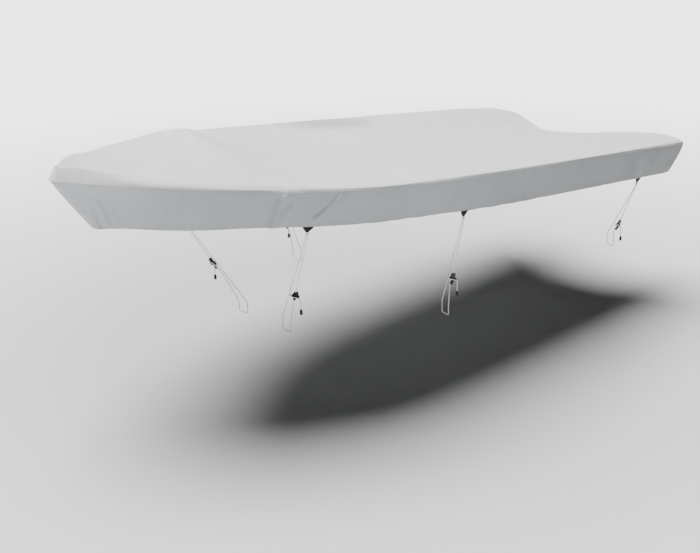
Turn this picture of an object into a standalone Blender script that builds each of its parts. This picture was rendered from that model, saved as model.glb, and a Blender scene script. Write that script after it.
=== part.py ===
"""Fitted storage cover for an open 4.3 m dinghy, as it lies over the boat.

Four cloth panels are sewn edge to edge: a top panel, a skirt down each side
that meets its neighbour at the stem, and a skirt across the stern.  Six ties
hang from webbing tabs under the hem and run round the trailer rails.

All sizes are metres.  Shapes are worked out in the boat's frame: x forward
from the stern corners, y to port, z up from the ground.  The finished objects
are then moved so that the origin is under the middle of the top panel.
"""

import math
from collections import namedtuple

import bmesh
import bpy
from mathutils import Vector


def table(columns, *rows):
    """Rows whose entries are read by the names of their columns."""
    named = namedtuple("Row", columns)
    return [named(*row) for row in rows]


# --- driving dimensions -------------------------------------------------------

LENGTH = 4.28               # stern corners to bow tip
CLOTH = 0.002               # coated canvas
HEM = 0.004                 # hem, the cloth turned up twice
HEM_DEPTH = 0.022
SEAM_GAP = 0.0003           # between panels that are sewn edge to edge
TOP_END = 4.238             # forward end of the flat of the top panel
STERN_WRAP = 0.045          # side skirts turn the corner this far across the stern
MIDSHIP = 2.14              # the mount under the top panel
TOP_STEP = 0.105            # between rows along the top panel
TOP_FINE_STEP = 0.048       # over the foredeck
SKIRT_STEP = 0.078          # between rows along the skirts
SKIRT_FINE_STEP = 0.034     # where they have folds
ACROSS = 12                 # cells across the top panel
SHOULDER_RINGS = 3          # rows that round the top panel's edge
SKIRT_ROWS = 5
SHARP_EDGE = math.radians(50.0)     # edges that turn more than this stay crisp

# Each row is a cross section of the boat under the cover.
#   x        forward of the stern corners
#   half     half breadth of the top panel, inside its rounded shoulder
#   sheer    height of the top seam above the ground
#   crown    rise of the middle of the top above its edges
#   shoulder radius of the rounded edge above the seam
#   flare    how far the skirt leans in for each metre it drops
#   rake     how far the skirt leans forward for each metre it drops
#   drop     depth of the skirt
SECTIONS = table(
    "x half sheer crown shoulder flare rake drop",
    (0.00, 0.825, 1.066, 0.000, 0.012, 0.25, 0.55, 0.200),
    (0.15, 0.836, 1.082, 0.000, 0.009, 0.25, 0.35, 0.202),
    (0.45, 0.851, 1.114, 0.000, 0.007, 0.24, 0.05, 0.207),
    (1.00, 0.873, 1.172, -0.004, 0.007, 0.22, 0.00, 0.208),
    (2.00, 0.899, 1.279, -0.006, 0.007, 0.20, 0.00, 0.208),
    (2.50, 0.900, 1.334, 0.000, 0.007, 0.20, 0.00, 0.197),
    (2.80, 0.889, 1.367, 0.015, 0.007, 0.22, 0.00, 0.195),
    (3.00, 0.849, 1.389, 0.035, 0.008, 0.25, 0.00, 0.199),
    (3.20, 0.781, 1.411, 0.080, 0.009, 0.28, 0.00, 0.203),
    (3.36, 0.714, 1.429, 0.148, 0.010, 0.32, -0.03, 0.206),
    (3.46, 0.664, 1.440, 0.188, 0.012, 0.34, -0.06, 0.209),
    (3.60, 0.586, 1.456, 0.148, 0.017, 0.37, -0.12, 0.219),
    (3.80, 0.447, 1.479, 0.109, 0.029, 0.38, -0.26, 0.241),
    (3.95, 0.309, 1.496, 0.084, 0.037, 0.35, -0.42, 0.258),
    (4.05, 0.205, 1.508, 0.079, 0.040, 0.28, -0.54, 0.268),
    (4.12, 0.128, 1.516, 0.079, 0.039, 0.18, -0.62, 0.276),
    (4.18, 0.062, 1.523, 0.065, 0.037, 0.08, -0.68, 0.283),
    (4.238, 0.008, 1.530, 0.026, 0.035, 0.00, -0.715, 0.290),
)
FOREDECK_FROM = 3.15        # the top panel's rows are closer from here on
FOLD_STRETCHES = ((3.10, 3.48), (4.00, 4.24))
CROWN_POWER = 1.30          # under 2, so the cloth peaks over the foredeck like a tent

# The stern edge of the top panel dips and turns forward round the outboard.
#   side     across the boat, from -1 at starboard to 1 at port
#   forward  of the stern corners
#   lift     above the line of the gunwales
STERN_EDGE = table(
    "side forward lift",
    (-1.00, 0.054, -0.013),
    (-0.78, 0.028, -0.017),
    (-0.54, 0.114, -0.028),
    (-0.30, 0.227, -0.047),
    (-0.15, 0.279, -0.056),
    (0.00, 0.259, -0.052),
    (0.15, 0.239, -0.037),
    (0.30, 0.203, -0.020),
    (0.54, 0.069, 0.006),
    (0.78, -0.028, 0.012),
    (1.00, 0.020, -0.002),
)
DIP_REACH = 0.42            # how far forward the dip in the stern edge fades out

# Slack places in the top panel, as round hollows.
#   x, y     centre
#   long     half length along the boat
#   wide     half width
#   depth    of the middle
HOLLOWS = table(
    "x y long wide depth",
    (1.58, -0.72, 0.42, 0.20, 0.014),
    (1.05, 0.35, 0.55, 0.40, 0.006),
    (2.55, 0.30, 0.60, 0.45, 0.007),
    (0.62, -0.45, 0.35, 0.25, 0.006),
    (3.88, 0.22, 0.16, 0.09, 0.008),
)

# Folds in the skirts, as ridges that run from one point to another.
#   side     1 port, -1 starboard
#   x0, x1   along the boat, at the ends of the fold
#   h0, h1   below the seam, at the ends of the fold
#   width    from the ridge's crest to where it has died away
#   height   outward, or inward where negative
FOLDS = table(
    "side x0 h0 x1 h1 width height",
    (1, 4.165, 0.105, 4.085, 0.255, 0.040, 0.009),
    (1, 4.095, 0.130, 4.045, 0.245, 0.036, 0.008),
    (1, 4.165, 0.030, 4.150, 0.120, 0.052, 0.005),
    (1, 3.385, 0.035, 3.440, 0.196, 0.048, 0.010),
    (1, 3.365, 0.095, 3.405, 0.196, 0.040, 0.007),
    (1, 3.140, 0.055, 3.235, 0.150, 0.048, 0.009),
    (1, 3.320, 0.018, 3.420, 0.016, 0.032, 0.005),
    (1, 2.300, 0.205, 2.360, 0.090, 0.060, 0.006),
    (1, 2.190, 0.205, 2.120, 0.085, 0.060, 0.005),
    (1, 0.500, 0.200, 0.570, 0.090, 0.060, 0.006),
    (1, 1.760, 0.150, 1.560, 0.190, 0.068, -0.005),
    (-1, 4.130, 0.090, 4.070, 0.245, 0.044, 0.008),
    (-1, 3.400, 0.050, 3.420, 0.196, 0.052, 0.008),
    (-1, 3.160, 0.060, 3.220, 0.170, 0.052, 0.007),
    (-1, 2.280, 0.200, 2.340, 0.090, 0.060, 0.006),
    (-1, 0.520, 0.200, 0.580, 0.090, 0.060, 0.006),
)

# Puckers of the hem, where its drawcord gathers it.
#   side, x0, x1   the stretch that is puckered
#   pitch          from crest to crest
#   height         of the crests
PUCKERS = table(
    "side x0 x1 pitch height",
    (1, 2.55, 3.12, 0.150, 0.0030),
    (1, 1.30, 2.45, 0.170, 0.0035),
    (1, 0.30, 1.20, 0.210, 0.0020),
    (-1, 0.40, 3.00, 0.190, 0.0030),
)
SKIRT_BELLY = 0.006         # how far the middle of a skirt stands out

# Ties, the same on both sides.
#   name       of the place along the boat
#   tab_x      middle of the tab, along the boat
#   rail_x, rail_y   upper outer edge of the trailer rail, where the tie crosses it
#   yaw        of the rail, degrees that it turns inward towards the bow
#   back_shift how far towards the bow the cord passes behind the rail
#   held       height of the adjuster, as a share of the way from rail to tab
TIES = table(
    "name tab_x rail_x rail_y yaw back_shift held",
    ("fore", 3.246, 3.010, 0.236, 30.0, 0.035, 0.315),
    ("mid", 2.238, 2.199, 0.702, 14.0, 0.000, 0.310),
    ("aft", 0.455, 0.525, 0.670, 0.0, -0.022, 0.225),
)
RAIL_TOP = 0.480            # height of the trailer rails
RAIL_WIDE = 0.060
CORD_RADIUS = 0.0025
CORD_BEVEL = 2              # rows of faces between a cord's four quarters
BEND_STEP = math.radians(32.0)      # between a cord's points as it turns
KNOT_EXIT = 0.0074          # a cord's end below the middle of the knot
STRAND_HALF_GAP = 0.0045    # the two strands leave the knot side by side

# Corners on the route of a main cord, from the knot to its free end.
#   place          that the corner is given from
#   aft, up, out   from there, away from the boat
#   bend           radius that the cord turns with
MAIN_ROUTE = table(
    "place aft up out bend",
    ("knot", -STRAND_HALF_GAP, -KNOT_EXIT, 0.0000, 0.0),
    ("knot", -0.0050, -0.0300, 0.0000, 0.200),
    ("behind", 0.000, 0.0045, 0.0000, 0.012),
    ("behind", 0.000, -0.0655, 0.0000, 0.010),
    ("rail", 0.000, -0.0655, 0.0045, 0.010),
    ("rail", 0.000, -0.0040, 0.0045, 0.060),
    ("adjuster", 0.0000, -0.0700, -0.0100, 0.060),
    ("adjuster", -0.0080, -0.0220, -0.0103, 0.080),
    ("adjuster", -0.0290, 0.0090, -0.0103, 0.010),
    ("adjuster", -0.0290, 0.0120, 0.0103, 0.010),
    ("adjuster", 0.0290, -0.0150, 0.0100, 0.014),
    ("tail", 0.0285, -0.0520, 0.0060, 0.060),
    ("tail", 0.0285, -0.0800, 0.0060, 0.0),
)

TAB_WIDTH = 0.064
TAB_TIP_WIDTH = 0.018
TAB_SHOWN = 0.046           # below the hem
TAB_TUCKED = 0.014          # sewn behind the hem
TAB_THICK = 0.004
TAB_CORNER = 0.006
TAB_CLEAR = 0.0004          # between a tab and the nearest part of the hem
KNOT_SIZE = (0.022, 0.016, 0.013)   # along the boat, high, through
KNOT_WAIST = 0.74           # of its height, between its two lobes
ADJUSTER_THICK = 0.010
ADJUSTER_BEVEL = 0.0012
# Outline of the adjuster, an S-shaped hook: aft and up from its middle.
ADJUSTER_OUTLINE = table(
    "aft up",
    (-0.013, 0.033), (-0.007, 0.038), (0.006, 0.038), (0.014, 0.033), (0.015, 0.025),
    (0.009, 0.017), (0.019, 0.005), (0.025, -0.006), (0.022, -0.015), (0.012, -0.018),
    (0.006, -0.023), (0.005, -0.034), (-0.001, -0.039), (-0.008, -0.037), (-0.010, -0.029),
    (-0.008, -0.021), (-0.001, -0.015), (-0.010, -0.006), (-0.019, 0.001), (-0.022, 0.009),
    (-0.019, 0.016), (-0.010, 0.019), (-0.013, 0.026),
)
# Turned profile of the cap on a cord's free end, down from the cord's end.
END_CAP_PROFILE = table(
    "radius depth",
    (0.0050, 0.000), (0.0084, 0.010), (0.0088, 0.020), (0.0080, 0.030),
)
END_CAP_SIDES = 10

# name: colour (linear), roughness, metallic
FINISHES = {
    "cover_cloth": ((0.50, 0.52, 0.54, 1.0), 0.80, 0.0),
    "black_webbing": ((0.012, 0.012, 0.013, 1.0), 0.75, 0.0),
    "white_cord": ((0.78, 0.77, 0.74, 1.0), 0.70, 0.0),
    "black_plastic": ((0.010, 0.010, 0.011, 1.0), 0.45, 0.0),
}


# --- reading the tables -------------------------------------------------------

def smooth_column(rows, name):
    """A column of a table as a smooth curve that never overshoots its rows."""
    xs = [row[0] for row in rows]
    ys = [getattr(row, name) for row in rows]
    count = len(xs)
    steps = [xs[i + 1] - xs[i] for i in range(count - 1)]
    slopes = [(ys[i + 1] - ys[i]) / steps[i] for i in range(count - 1)]
    tangents = [slopes[0]]
    for i in range(1, count - 1):
        before, after = slopes[i - 1], slopes[i]
        if before * after <= 0.0:
            tangents.append(0.0)
            continue
        w0 = 2.0 * steps[i] + steps[i - 1]
        w1 = steps[i] + 2.0 * steps[i - 1]
        tangents.append((w0 + w1) / (w0 / before + w1 / after))
    tangents.append(slopes[-1])

    def value(x):
        x = min(max(x, xs[0]), xs[-1])
        i = 0
        while i < count - 2 and x > xs[i + 1]:
            i += 1
        t = (x - xs[i]) / steps[i]
        t2, t3 = t * t, t * t * t
        return ((2 * t3 - 3 * t2 + 1) * ys[i] + (t3 - 2 * t2 + t) * steps[i] * tangents[i]
                + (-2 * t3 + 3 * t2) * ys[i + 1] + (t3 - t2) * steps[i] * tangents[i + 1])

    return value


SECTION = {name: smooth_column(SECTIONS, name) for name in SECTIONS[0]._fields[1:]}
EDGE_FORWARD = smooth_column(STERN_EDGE, "forward")
EDGE_LIFT = smooth_column(STERN_EDGE, "lift")


def bump(distance):
    """1 at the middle of a round hollow or ridge, easing to 0 at distance 1."""
    d = min(abs(distance), 1.0)
    return (1.0 - d * d) ** 2


# --- the surface of the cover ---------------------------------------------------

def top_point(along, side):
    """A point of the top panel inside its shoulder; along and side as shares."""
    stern = EDGE_FORWARD(side)
    x = stern + (TOP_END - stern) * along
    y = side * SECTION["half"](x)
    rise = SECTION["crown"](x) * (1.0 - abs(side) ** CROWN_POWER)
    dip = EDGE_LIFT(side) * bump((x - stern) / DIP_REACH)
    hollow = sum(h.depth * bump(math.hypot((x - h.x) / h.long, (y - h.y) / h.wide))
                 for h in HOLLOWS)
    z = SECTION["sheer"](x) + SECTION["shoulder"](x) + rise + dip - hollow
    return Vector((x, y, z))


def seam_drop(x, side):
    """Height of the top seam, which follows the dip round the outboard."""
    stern = EDGE_FORWARD(side)
    return SECTION["sheer"](x) + EDGE_LIFT(side) * bump((x - stern) / DIP_REACH)


def bow_outward(side):
    """At the blunt bow end the way out fans round from one side to the other."""
    slope = (SECTION["half"](TOP_END - 0.02) - SECTION["half"](TOP_END)) / 0.02
    angle = side * math.atan2(1.0, slope)
    return Vector((math.cos(angle), math.sin(angle), 0.0))


# A place on the rim of the cover: a point of the top panel inside its shoulder,
# the way out from there in plan, and the seam below.
Entry = namedtuple("Entry", "point outward seam")


def border(shares, across):
    """The rim of the top panel as a closed round of entries.

    It starts at the middle of the bow and runs aft down the port side, across
    the stern and forward up the starboard side.
    """
    middle = len(across) // 2
    bow = [(top_point(1.0, v), v, True) for v in across]
    port = [(top_point(s, 1.0), 1.0, False) for s in reversed(shares[:-1])]
    stern = [(top_point(0.0, v), v, False) for v in reversed(across)]
    starboard = [(top_point(s, -1.0), -1.0, False) for s in shares[1:-1]]
    ring = bow[middle:] + port[:-1] + stern + starboard + bow[:middle]
    entries = []
    for i, (point, side, at_bow) in enumerate(ring):
        ahead, behind = ring[(i + 1) % len(ring)][0], ring[i - 1][0]
        along = Vector((ahead.x - behind.x, ahead.y - behind.y, 0.0)).normalized()
        outward = bow_outward(side) if at_bow else Vector((along.y, -along.x, 0.0))
        seam = point + outward * SECTION["shoulder"](point.x)
        seam.z = seam_drop(point.x, side)
        entries.append(Entry(point, outward, seam))
    return entries


def stations():
    """Shares of the way from stern to bow, closer together over the foredeck."""
    x, found = 0.0, [0.0]
    while x < TOP_END - 2.0 * TOP_FINE_STEP:
        x += TOP_FINE_STEP if x >= FOREDECK_FROM else TOP_STEP
        found.append(x / TOP_END)
    return found + [1.0]


def cells_across():
    """Shares of the way across, from -1 to 1, closer together near the sides."""
    quarter = ACROSS // 2
    return [math.sin(0.5 * math.pi * (i / quarter - 1.0)) for i in range(ACROSS + 1)]


def between(a, b, share):
    """An entry part of the way along the straight edge between two others."""
    return Entry(a.point.lerp(b.point, share),
                 a.outward.lerp(b.outward, share).normalized(),
                 a.seam.lerp(b.seam, share))


def divided(ring):
    """The same round with more entries, each on the line between its neighbours."""
    fuller = []
    for i, entry in enumerate(ring):
        following = ring[(i + 1) % len(ring)]
        middle = 0.5 * (entry.seam.x + following.seam.x)
        fine = any(low < middle < high for low, high in FOLD_STRETCHES)
        step = SKIRT_FINE_STEP if fine else SKIRT_STEP
        count = math.ceil((following.seam - entry.seam).length / step)
        fuller += [between(entry, following, k / count) for k in range(count)]
    return fuller


def fold_height(side, x, depth, drop):
    """How far the folds and the hem's puckers lift a skirt at a point of it."""
    height = SKIRT_BELLY * math.sin(math.pi * min(depth / drop, 1.0))
    for fold in FOLDS:
        if fold.side * side < 0.0:
            continue
        run, fall = fold.x1 - fold.x0, fold.h1 - fold.h0
        share = ((x - fold.x0) * run + (depth - fold.h0) * fall) / (run * run + fall * fall)
        share = min(max(share, 0.0), 1.0)
        away = math.hypot(x - fold.x0 - share * run, depth - fold.h0 - share * fall)
        height += fold.height * bump(away / fold.width)
    for row in PUCKERS:
        if row.side * side > 0.0 and row.x0 < x < row.x1:
            swell = math.sin(math.pi * (x - row.x0) / (row.x1 - row.x0))
            wave = math.sin(2.0 * math.pi * (x - row.x0) / row.pitch)
            height += row.height * swell * wave * (depth / drop) ** 2
    return height


def skirt_point(entry, depth_share):
    """A point on the outer face of a skirt, at a share of its depth."""
    point, outward, seam = entry
    x = point.x
    drop = SECTION["drop"](x)
    depth = drop * depth_share
    lean = SECTION["flare"](x) * depth * seam.y / (SECTION["half"](x) + SECTION["shoulder"](x))
    lift = fold_height(math.copysign(1.0, seam.y), x, depth, drop)
    return Vector((seam.x + SECTION["rake"](x) * depth + outward.x * lift,
                   seam.y - lean + outward.y * lift,
                   seam.z - depth))


# --- making solids --------------------------------------------------------------

def material(name):
    found = bpy.data.materials.get(name)
    if found:
        return found
    colour, roughness, metallic = FINISHES[name]
    made = bpy.data.materials.new(name)
    made.use_nodes = True
    shader = made.node_tree.nodes["Principled BSDF"]
    shader.inputs["Base Color"].default_value = colour
    shader.inputs["Roughness"].default_value = roughness
    shader.inputs["Metallic"].default_value = metallic
    made.diffuse_color = colour
    return made


def add_object(name, data, finish):
    made = bpy.data.objects.new(name, data)
    bpy.context.scene.collection.objects.link(made)
    data.materials.append(material(finish))
    return made


def mesh_from(bm, name, finish):
    """An object from a closed mesh, with its faces outward, at the part's origin."""
    bmesh.ops.recalc_face_normals(bm, faces=bm.faces[:])
    if bm.calc_volume(signed=True) < 0.0:
        bmesh.ops.reverse_faces(bm, faces=bm.faces[:])
    bmesh.ops.translate(bm, verts=bm.verts[:], vec=-origin())
    mesh = bpy.data.meshes.new(name)
    bm.to_mesh(mesh)
    bm.free()
    mesh.shade_smooth()
    mesh.set_sharp_from_angle(angle=SHARP_EDGE)
    return add_object(name, mesh, finish)


def origin():
    """Underside of the middle of the top panel."""
    share = (MIDSHIP - EDGE_FORWARD(0.0)) / (TOP_END - EDGE_FORWARD(0.0))
    return top_point(share, 0.0) - Vector((0.0, 0.0, CLOTH))


def triangles(points, face):
    """A four-sided face, parted along its shorter diagonal."""
    a, b, c, d = face
    if (points[a] - points[c]).length <= (points[b] - points[d]).length:
        return [a, b, c], [a, c, d]
    return [b, c, d], [b, d, a]


def thicken(outer, faces, inward):
    """A closed sheet: the outer skin, an inner skin, and a rim between them.

    Both skins are parted along the same diagonals, so they stay apart.
    """
    bm = bmesh.new()
    skin = [bm.verts.new(p) for p in outer]
    lining = [bm.verts.new(p + step) for p, step in zip(outer, inward)]
    edge_uses = {}
    for face in faces:
        for corners in triangles(outer, face):
            bm.faces.new([skin[i] for i in corners])
            bm.faces.new([lining[i] for i in reversed(corners)])
        for a, b in zip(face, face[1:] + face[:1]):
            edge_uses[(a, b)] = edge_uses.get((a, b), 0) + 1
    for a, b in edge_uses:
        if (b, a) not in edge_uses:
            bm.faces.new([skin[b], skin[a], lining[a], lining[b]])
    return bm


def sheet_normals(points, faces):
    """The way out at each point of a sheet, averaged over its faces."""
    normals = [Vector() for _ in points]
    for face in faces:
        corners = [points[i] for i in face]
        across = (corners[2] - corners[0]).cross(corners[-1] - corners[1])
        for i in face:
            normals[i] += across
    return [n.normalized() for n in normals]


# --- the cloth ------------------------------------------------------------------

def build_top_panel():
    shares, across = stations(), cells_across()
    rows, wide = len(shares), ACROSS + 1
    points = [top_point(s, v) for s in shares for v in across]
    faces = []
    for i in range(rows - 1):
        for j in range(ACROSS):
            a = i * wide + j
            faces.append([a, a + wide, a + wide + 1, a + 1])

    # the same points, taken round the rim in the order that border() gives them
    last = (rows - 1) * wide
    half = ACROSS // 2
    rim = ([last + j for j in range(half, wide)]
           + [i * wide + ACROSS for i in range(rows - 2, 0, -1)]
           + [j for j in range(ACROSS, -1, -1)]
           + [i * wide for i in range(1, rows - 1)]
           + [last + j for j in range(half)])
    entries = border(shares, across)
    plan_out = {}
    previous = rim
    for ring in range(1, SHOULDER_RINGS + 1):
        angle = 0.5 * math.pi * ring / SHOULDER_RINGS
        start = len(points)
        for k, (point, outward, seam) in enumerate(entries):
            reach = (seam - point).to_2d().length * math.sin(angle)
            fall = (point.z - seam.z) * (1.0 - math.cos(angle))
            points.append(point + outward * reach - Vector((0.0, 0.0, fall)))
            if ring == SHOULDER_RINGS:
                plan_out[start + k] = outward
        current = list(range(start, len(points)))
        count = len(current)
        for k in range(count):
            n = (k + 1) % count
            faces.append([previous[k], current[k], current[n], previous[n]])
        previous = current
    faces = [list(reversed(face)) for face in faces]
    normals = sheet_normals(points, faces)
    if normals[half + wide * (rows // 2)].z < 0.0:
        faces = [list(reversed(face)) for face in faces]
        normals = [-n for n in normals]
    inward = [-(plan_out.get(i, n)) * CLOTH for i, n in enumerate(normals)]
    return mesh_from(thicken(points, faces, inward), "top_panel", "cover_cloth")


def build_skirt(name, entries):
    """A panel that hangs from a stretch of the top seam, with its hem doubled."""
    shares = [i / (SKIRT_ROWS - 1.0) for i in range(SKIRT_ROWS)]
    drop_gap = Vector((0.0, 0.0, SEAM_GAP))
    points, inward = [], []
    for entry in entries:
        drop = SECTION["drop"](entry[0].x)
        turn_up = 1.0 - HEM_DEPTH / drop
        for share in [s * turn_up for s in shares] + [turn_up + 0.02, 1.0]:
            points.append(skirt_point(entry, share) - drop_gap)
            inward.append(-entry[1] * (HEM if share > turn_up else CLOTH))
    wide = SKIRT_ROWS + 2
    faces = []
    for i in range(len(entries) - 1):
        for j in range(wide - 1):
            a = i * wide + j
            faces.append([a, a + 1, a + wide + 1, a + wide])
    return mesh_from(thicken(points, faces, inward), name, "cover_cloth")


def shifted(entry, way, distance):
    """Move the end of a panel back from its neighbour."""
    step = Vector((way.x, way.y, 0.0)).normalized() * distance
    return Entry(entry.point + step, entry.outward, entry.seam + step)


def build_skirts(ring):
    corner = max(range(len(ring)), key=lambda i: ring[i].seam.y - ring[i].seam.x)
    port_end = corner
    while ring[port_end].seam.y > ring[corner].seam.y - STERN_WRAP:
        port_end += 1
    stem, starboard_end = ring[0], port_end
    while ring[starboard_end + 1].seam.y > -ring[port_end].seam.y - 1e-4:
        starboard_end += 1
    panels = {
        "skirt_port": ring[:port_end + 1],
        "skirt_stern": ring[port_end:starboard_end + 1],
        "skirt_starboard": ring[starboard_end:] + [stem],
    }
    for name, entries in panels.items():
        first_way = entries[1].seam - entries[0].seam
        last_way = entries[-2].seam - entries[-1].seam
        ends = [shifted(entries[0], first_way, 0.5 * SEAM_GAP),
                shifted(entries[-1], last_way, 0.5 * SEAM_GAP)]
        build_skirt(name, ends[:1] + entries[1:-1] + ends[1:])


# --- the ties -------------------------------------------------------------------

def side_entry(x, side):
    """The rim entry at a place along one side."""
    slope = (SECTION["half"](x + 0.01) - SECTION["half"](x - 0.01)) / 0.02
    outward = Vector((-slope, side, 0.0)).normalized()
    point = Vector((x, side * SECTION["half"](x), SECTION["sheer"](x)))
    return Entry(point, outward, point + outward * SECTION["shoulder"](x))


def hem_lining(ring, side, low, high):
    """Points on the inner face of the hem, along a stretch of one side."""
    found = []
    for a, b in zip(ring, ring[1:]):
        if side * a.seam.y < 0.0:
            continue
        for share in (1.0 - TAB_TUCKED / SECTION["drop"](a.point.x), 1.0):
            start = skirt_point(a, share) - a.outward * HEM
            end = skirt_point(b, share) - b.outward * HEM
            if min(start.x, end.x) < high and max(start.x, end.x) > low:
                for x in (low, high):
                    part = (x - start.x) / (end.x - start.x)
                    found.append(start.lerp(end, min(max(part, 0.0), 1.0)))
    return found


def tab_frame(tab_x, side, ring):
    """Middle of a tab's outer face at the hem, and the ways aft, down and out."""
    entry = side_entry(tab_x, side)
    hem, above = skirt_point(entry, 1.0), skirt_point(entry, 0.9)
    down = (hem - above).normalized()
    aft = entry.outward.cross(down).normalized() * side
    out = down.cross(aft).normalized() * side
    lining = hem_lining(ring, side, tab_x - 0.5 * TAB_WIDTH, tab_x + 0.5 * TAB_WIDTH)
    inset = min((point - hem).dot(out) for point in lining)
    return hem + out * (inset - TAB_CLEAR), aft, down, out


def tie_frames(tie, side, ring):
    """Places and directions that a tie is built from, on one side."""
    face, hem_aft, hem_down, hem_out = tab_frame(tie.tab_x, side, ring)
    up = Vector((0.0, 0.0, 1.0))
    turn = math.radians(tie.yaw)
    rail_out = Vector((math.sin(turn), side * math.cos(turn), 0.0))
    rail_aft = Vector((-math.cos(turn), side * math.sin(turn), 0.0))
    rail = Vector((tie.rail_x, side * tie.rail_y, RAIL_TOP))
    tip = face + hem_down * TAB_SHOWN - hem_out * (0.5 * TAB_THICK)
    knot = tip - up * (0.485 * KNOT_SIZE[1] + SEAM_GAP)
    pull = (knot - rail).normalized()
    aft = pull.cross(rail_out).normalized() * side
    out = aft.cross(pull).normalized() * side
    middle = rail.lerp(knot, tie.held)
    behind = rail - rail_out * (RAIL_WIDE + CORD_RADIUS + 0.001) - rail_aft * tie.back_shift
    return {
        "tab": (face - hem_out * TAB_THICK, hem_aft, -hem_down, hem_out),
        "knot": (knot, aft, pull, out),
        "behind": (behind, rail_aft, up, rail_out),
        "rail": (rail, rail_aft, up, rail_out),
        "adjuster": (middle, aft, pull, out),
        "tail": (middle, aft, up, rail_out),
    }


def place(frame, aft, up, out):
    base, aft_way, up_way, out_way = frame
    return base + aft_way * aft + up_way * up + out_way * out


def rounded_route(corners):
    """Points along a taut cord: straight runs, joined by round bends."""
    points = [corners[0][0]]
    for (before, _), (corner, bend), (after, _) in zip(corners, corners[1:], corners[2:]):
        back, on = before - corner, after - corner
        turn = math.pi - back.angle(on)
        reach = min(bend * math.tan(0.5 * turn), 0.49 * back.length, 0.49 * on.length)
        radius = reach / math.tan(0.5 * turn)
        back.normalize()
        on.normalize()
        centre = corner + (back + on).normalized() * (radius / math.cos(0.5 * turn))
        start = corner + back * reach
        count = max(1, math.ceil(turn / BEND_STEP))
        for k in range(count + 1):
            angle = turn * k / count
            points.append(centre + (start - centre) * math.cos(angle)
                          - back * (radius * math.sin(angle)))
    points.append(corners[-1][0])
    return points


def build_cord(name, points):
    curve = bpy.data.curves.new(name, "CURVE")
    curve.dimensions = "3D"
    curve.bevel_depth = CORD_RADIUS
    curve.bevel_resolution = CORD_BEVEL
    curve.use_fill_caps = True
    spline = curve.splines.new("POLY")
    spline.points.add(len(points) - 1)
    for target, point in zip(spline.points, points):
        moved = point - origin()
        target.co = (moved.x, moved.y, moved.z, 1.0)
    spline.use_smooth = True
    return add_object(name, curve, "white_cord")


def build_plate(name, outline, thickness, bevel, frame, finish):
    """A flat outline given a thickness; its inner face lies in the frame's plane."""
    bm = bmesh.new()
    low = [bm.verts.new(place(frame, aft, up, 0.0)) for aft, up in outline]
    high = [bm.verts.new(place(frame, aft, up, thickness)) for aft, up in outline]
    ends = [bm.faces.new(low), bm.faces.new(list(reversed(high)))]
    for i in range(len(outline)):
        n = (i + 1) % len(outline)
        bm.faces.new([low[n], low[i], high[i], high[n]])
    if bevel:
        bmesh.ops.bevel(bm, geom=[e for end in ends for e in end.edges], offset=bevel,
                        segments=1, affect="EDGES", clamp_overlap=True)
    return mesh_from(bm, name, finish)


def build_tab(name, frame):
    """Webbing folded to a point, its wide end sewn behind the hem."""
    wide, tip = 0.5 * TAB_WIDTH, 0.5 * TAB_TIP_WIDTH
    half = [(tip - 0.004, -TAB_SHOWN), (tip, -TAB_SHOWN + 0.005), (wide, -0.002),
            (wide, TAB_TUCKED - TAB_CORNER), (wide - TAB_CORNER, TAB_TUCKED)]
    outline = half + [(-aft, up) for aft, up in reversed(half)]
    return build_plate(name, outline, TAB_THICK, 0.0, frame, "black_webbing")


def build_knot(name, frame):
    """A cow hitch pulled tight: two lobes with a waist between them."""
    bm = bmesh.new()
    bmesh.ops.create_uvsphere(bm, u_segments=8, v_segments=6, radius=0.5)
    long, high, through = KNOT_SIZE
    for vert in bm.verts:
        x, y, z = vert.co
        girth = KNOT_WAIST + (1.0 - KNOT_WAIST) * min(abs(x) / 0.25, 1.0)
        vert.co = place(frame, x * long, z * high * girth, y * through * girth)
    return mesh_from(bm, name, "white_cord")


def build_end_cap(name, top):
    """The moulded cap on a cord's free end, hanging straight down."""
    bm = bmesh.new()
    rings = []
    for radius, depth in END_CAP_PROFILE:
        angles = [2.0 * math.pi * k / END_CAP_SIDES for k in range(END_CAP_SIDES)]
        rings.append([bm.verts.new(top + Vector((radius * math.cos(a), radius * math.sin(a), -depth)))
                      for a in angles])
    bm.faces.new(rings[0])
    bm.faces.new(list(reversed(rings[-1])))
    for upper, lower in zip(rings, rings[1:]):
        for k in range(END_CAP_SIDES):
            n = (k + 1) % END_CAP_SIDES
            bm.faces.new([upper[k], upper[n], lower[n], lower[k]])
    return mesh_from(bm, name, "black_plastic")


def build_tie(tie, side_name, side, ring):
    label = "%s_%s" % (side_name, tie.name)
    frames = tie_frames(tie, side, ring)
    held = frames["adjuster"]
    back = (place(held, 0.0, 0.0, -0.5 * ADJUSTER_THICK),) + held[1:]
    head = max(corner.up for corner in ADJUSTER_OUTLINE)
    route = [(place(frames[row.place], row.aft, row.up, row.out), row.bend)
             for row in MAIN_ROUTE]
    build_tab("tab_" + label, frames["tab"])
    build_knot("knot_" + label, frames["knot"])
    build_plate("adjuster_" + label, ADJUSTER_OUTLINE, ADJUSTER_THICK, ADJUSTER_BEVEL,
                back, "black_plastic")
    build_cord("cord_" + label, rounded_route(route))
    build_end_cap("cord_end_" + label, route[-1][0] - Vector((0.0, 0.0, SEAM_GAP)))
    build_cord("strand_" + label, [place(frames["knot"], STRAND_HALF_GAP, -KNOT_EXIT, 0.0),
                                   place(held, 0.0, head + SEAM_GAP, 0.0)])


def main():
    for old in list(bpy.data.objects):
        bpy.data.objects.remove(old, do_unlink=True)
    ring = divided(border(stations(), cells_across()))
    build_top_panel()
    build_skirts(ring)
    for tie in TIES:
        for side_name, side in (("port", 1.0), ("starboard", -1.0)):
            build_tie(tie, side_name, side, ring)


main()
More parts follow.
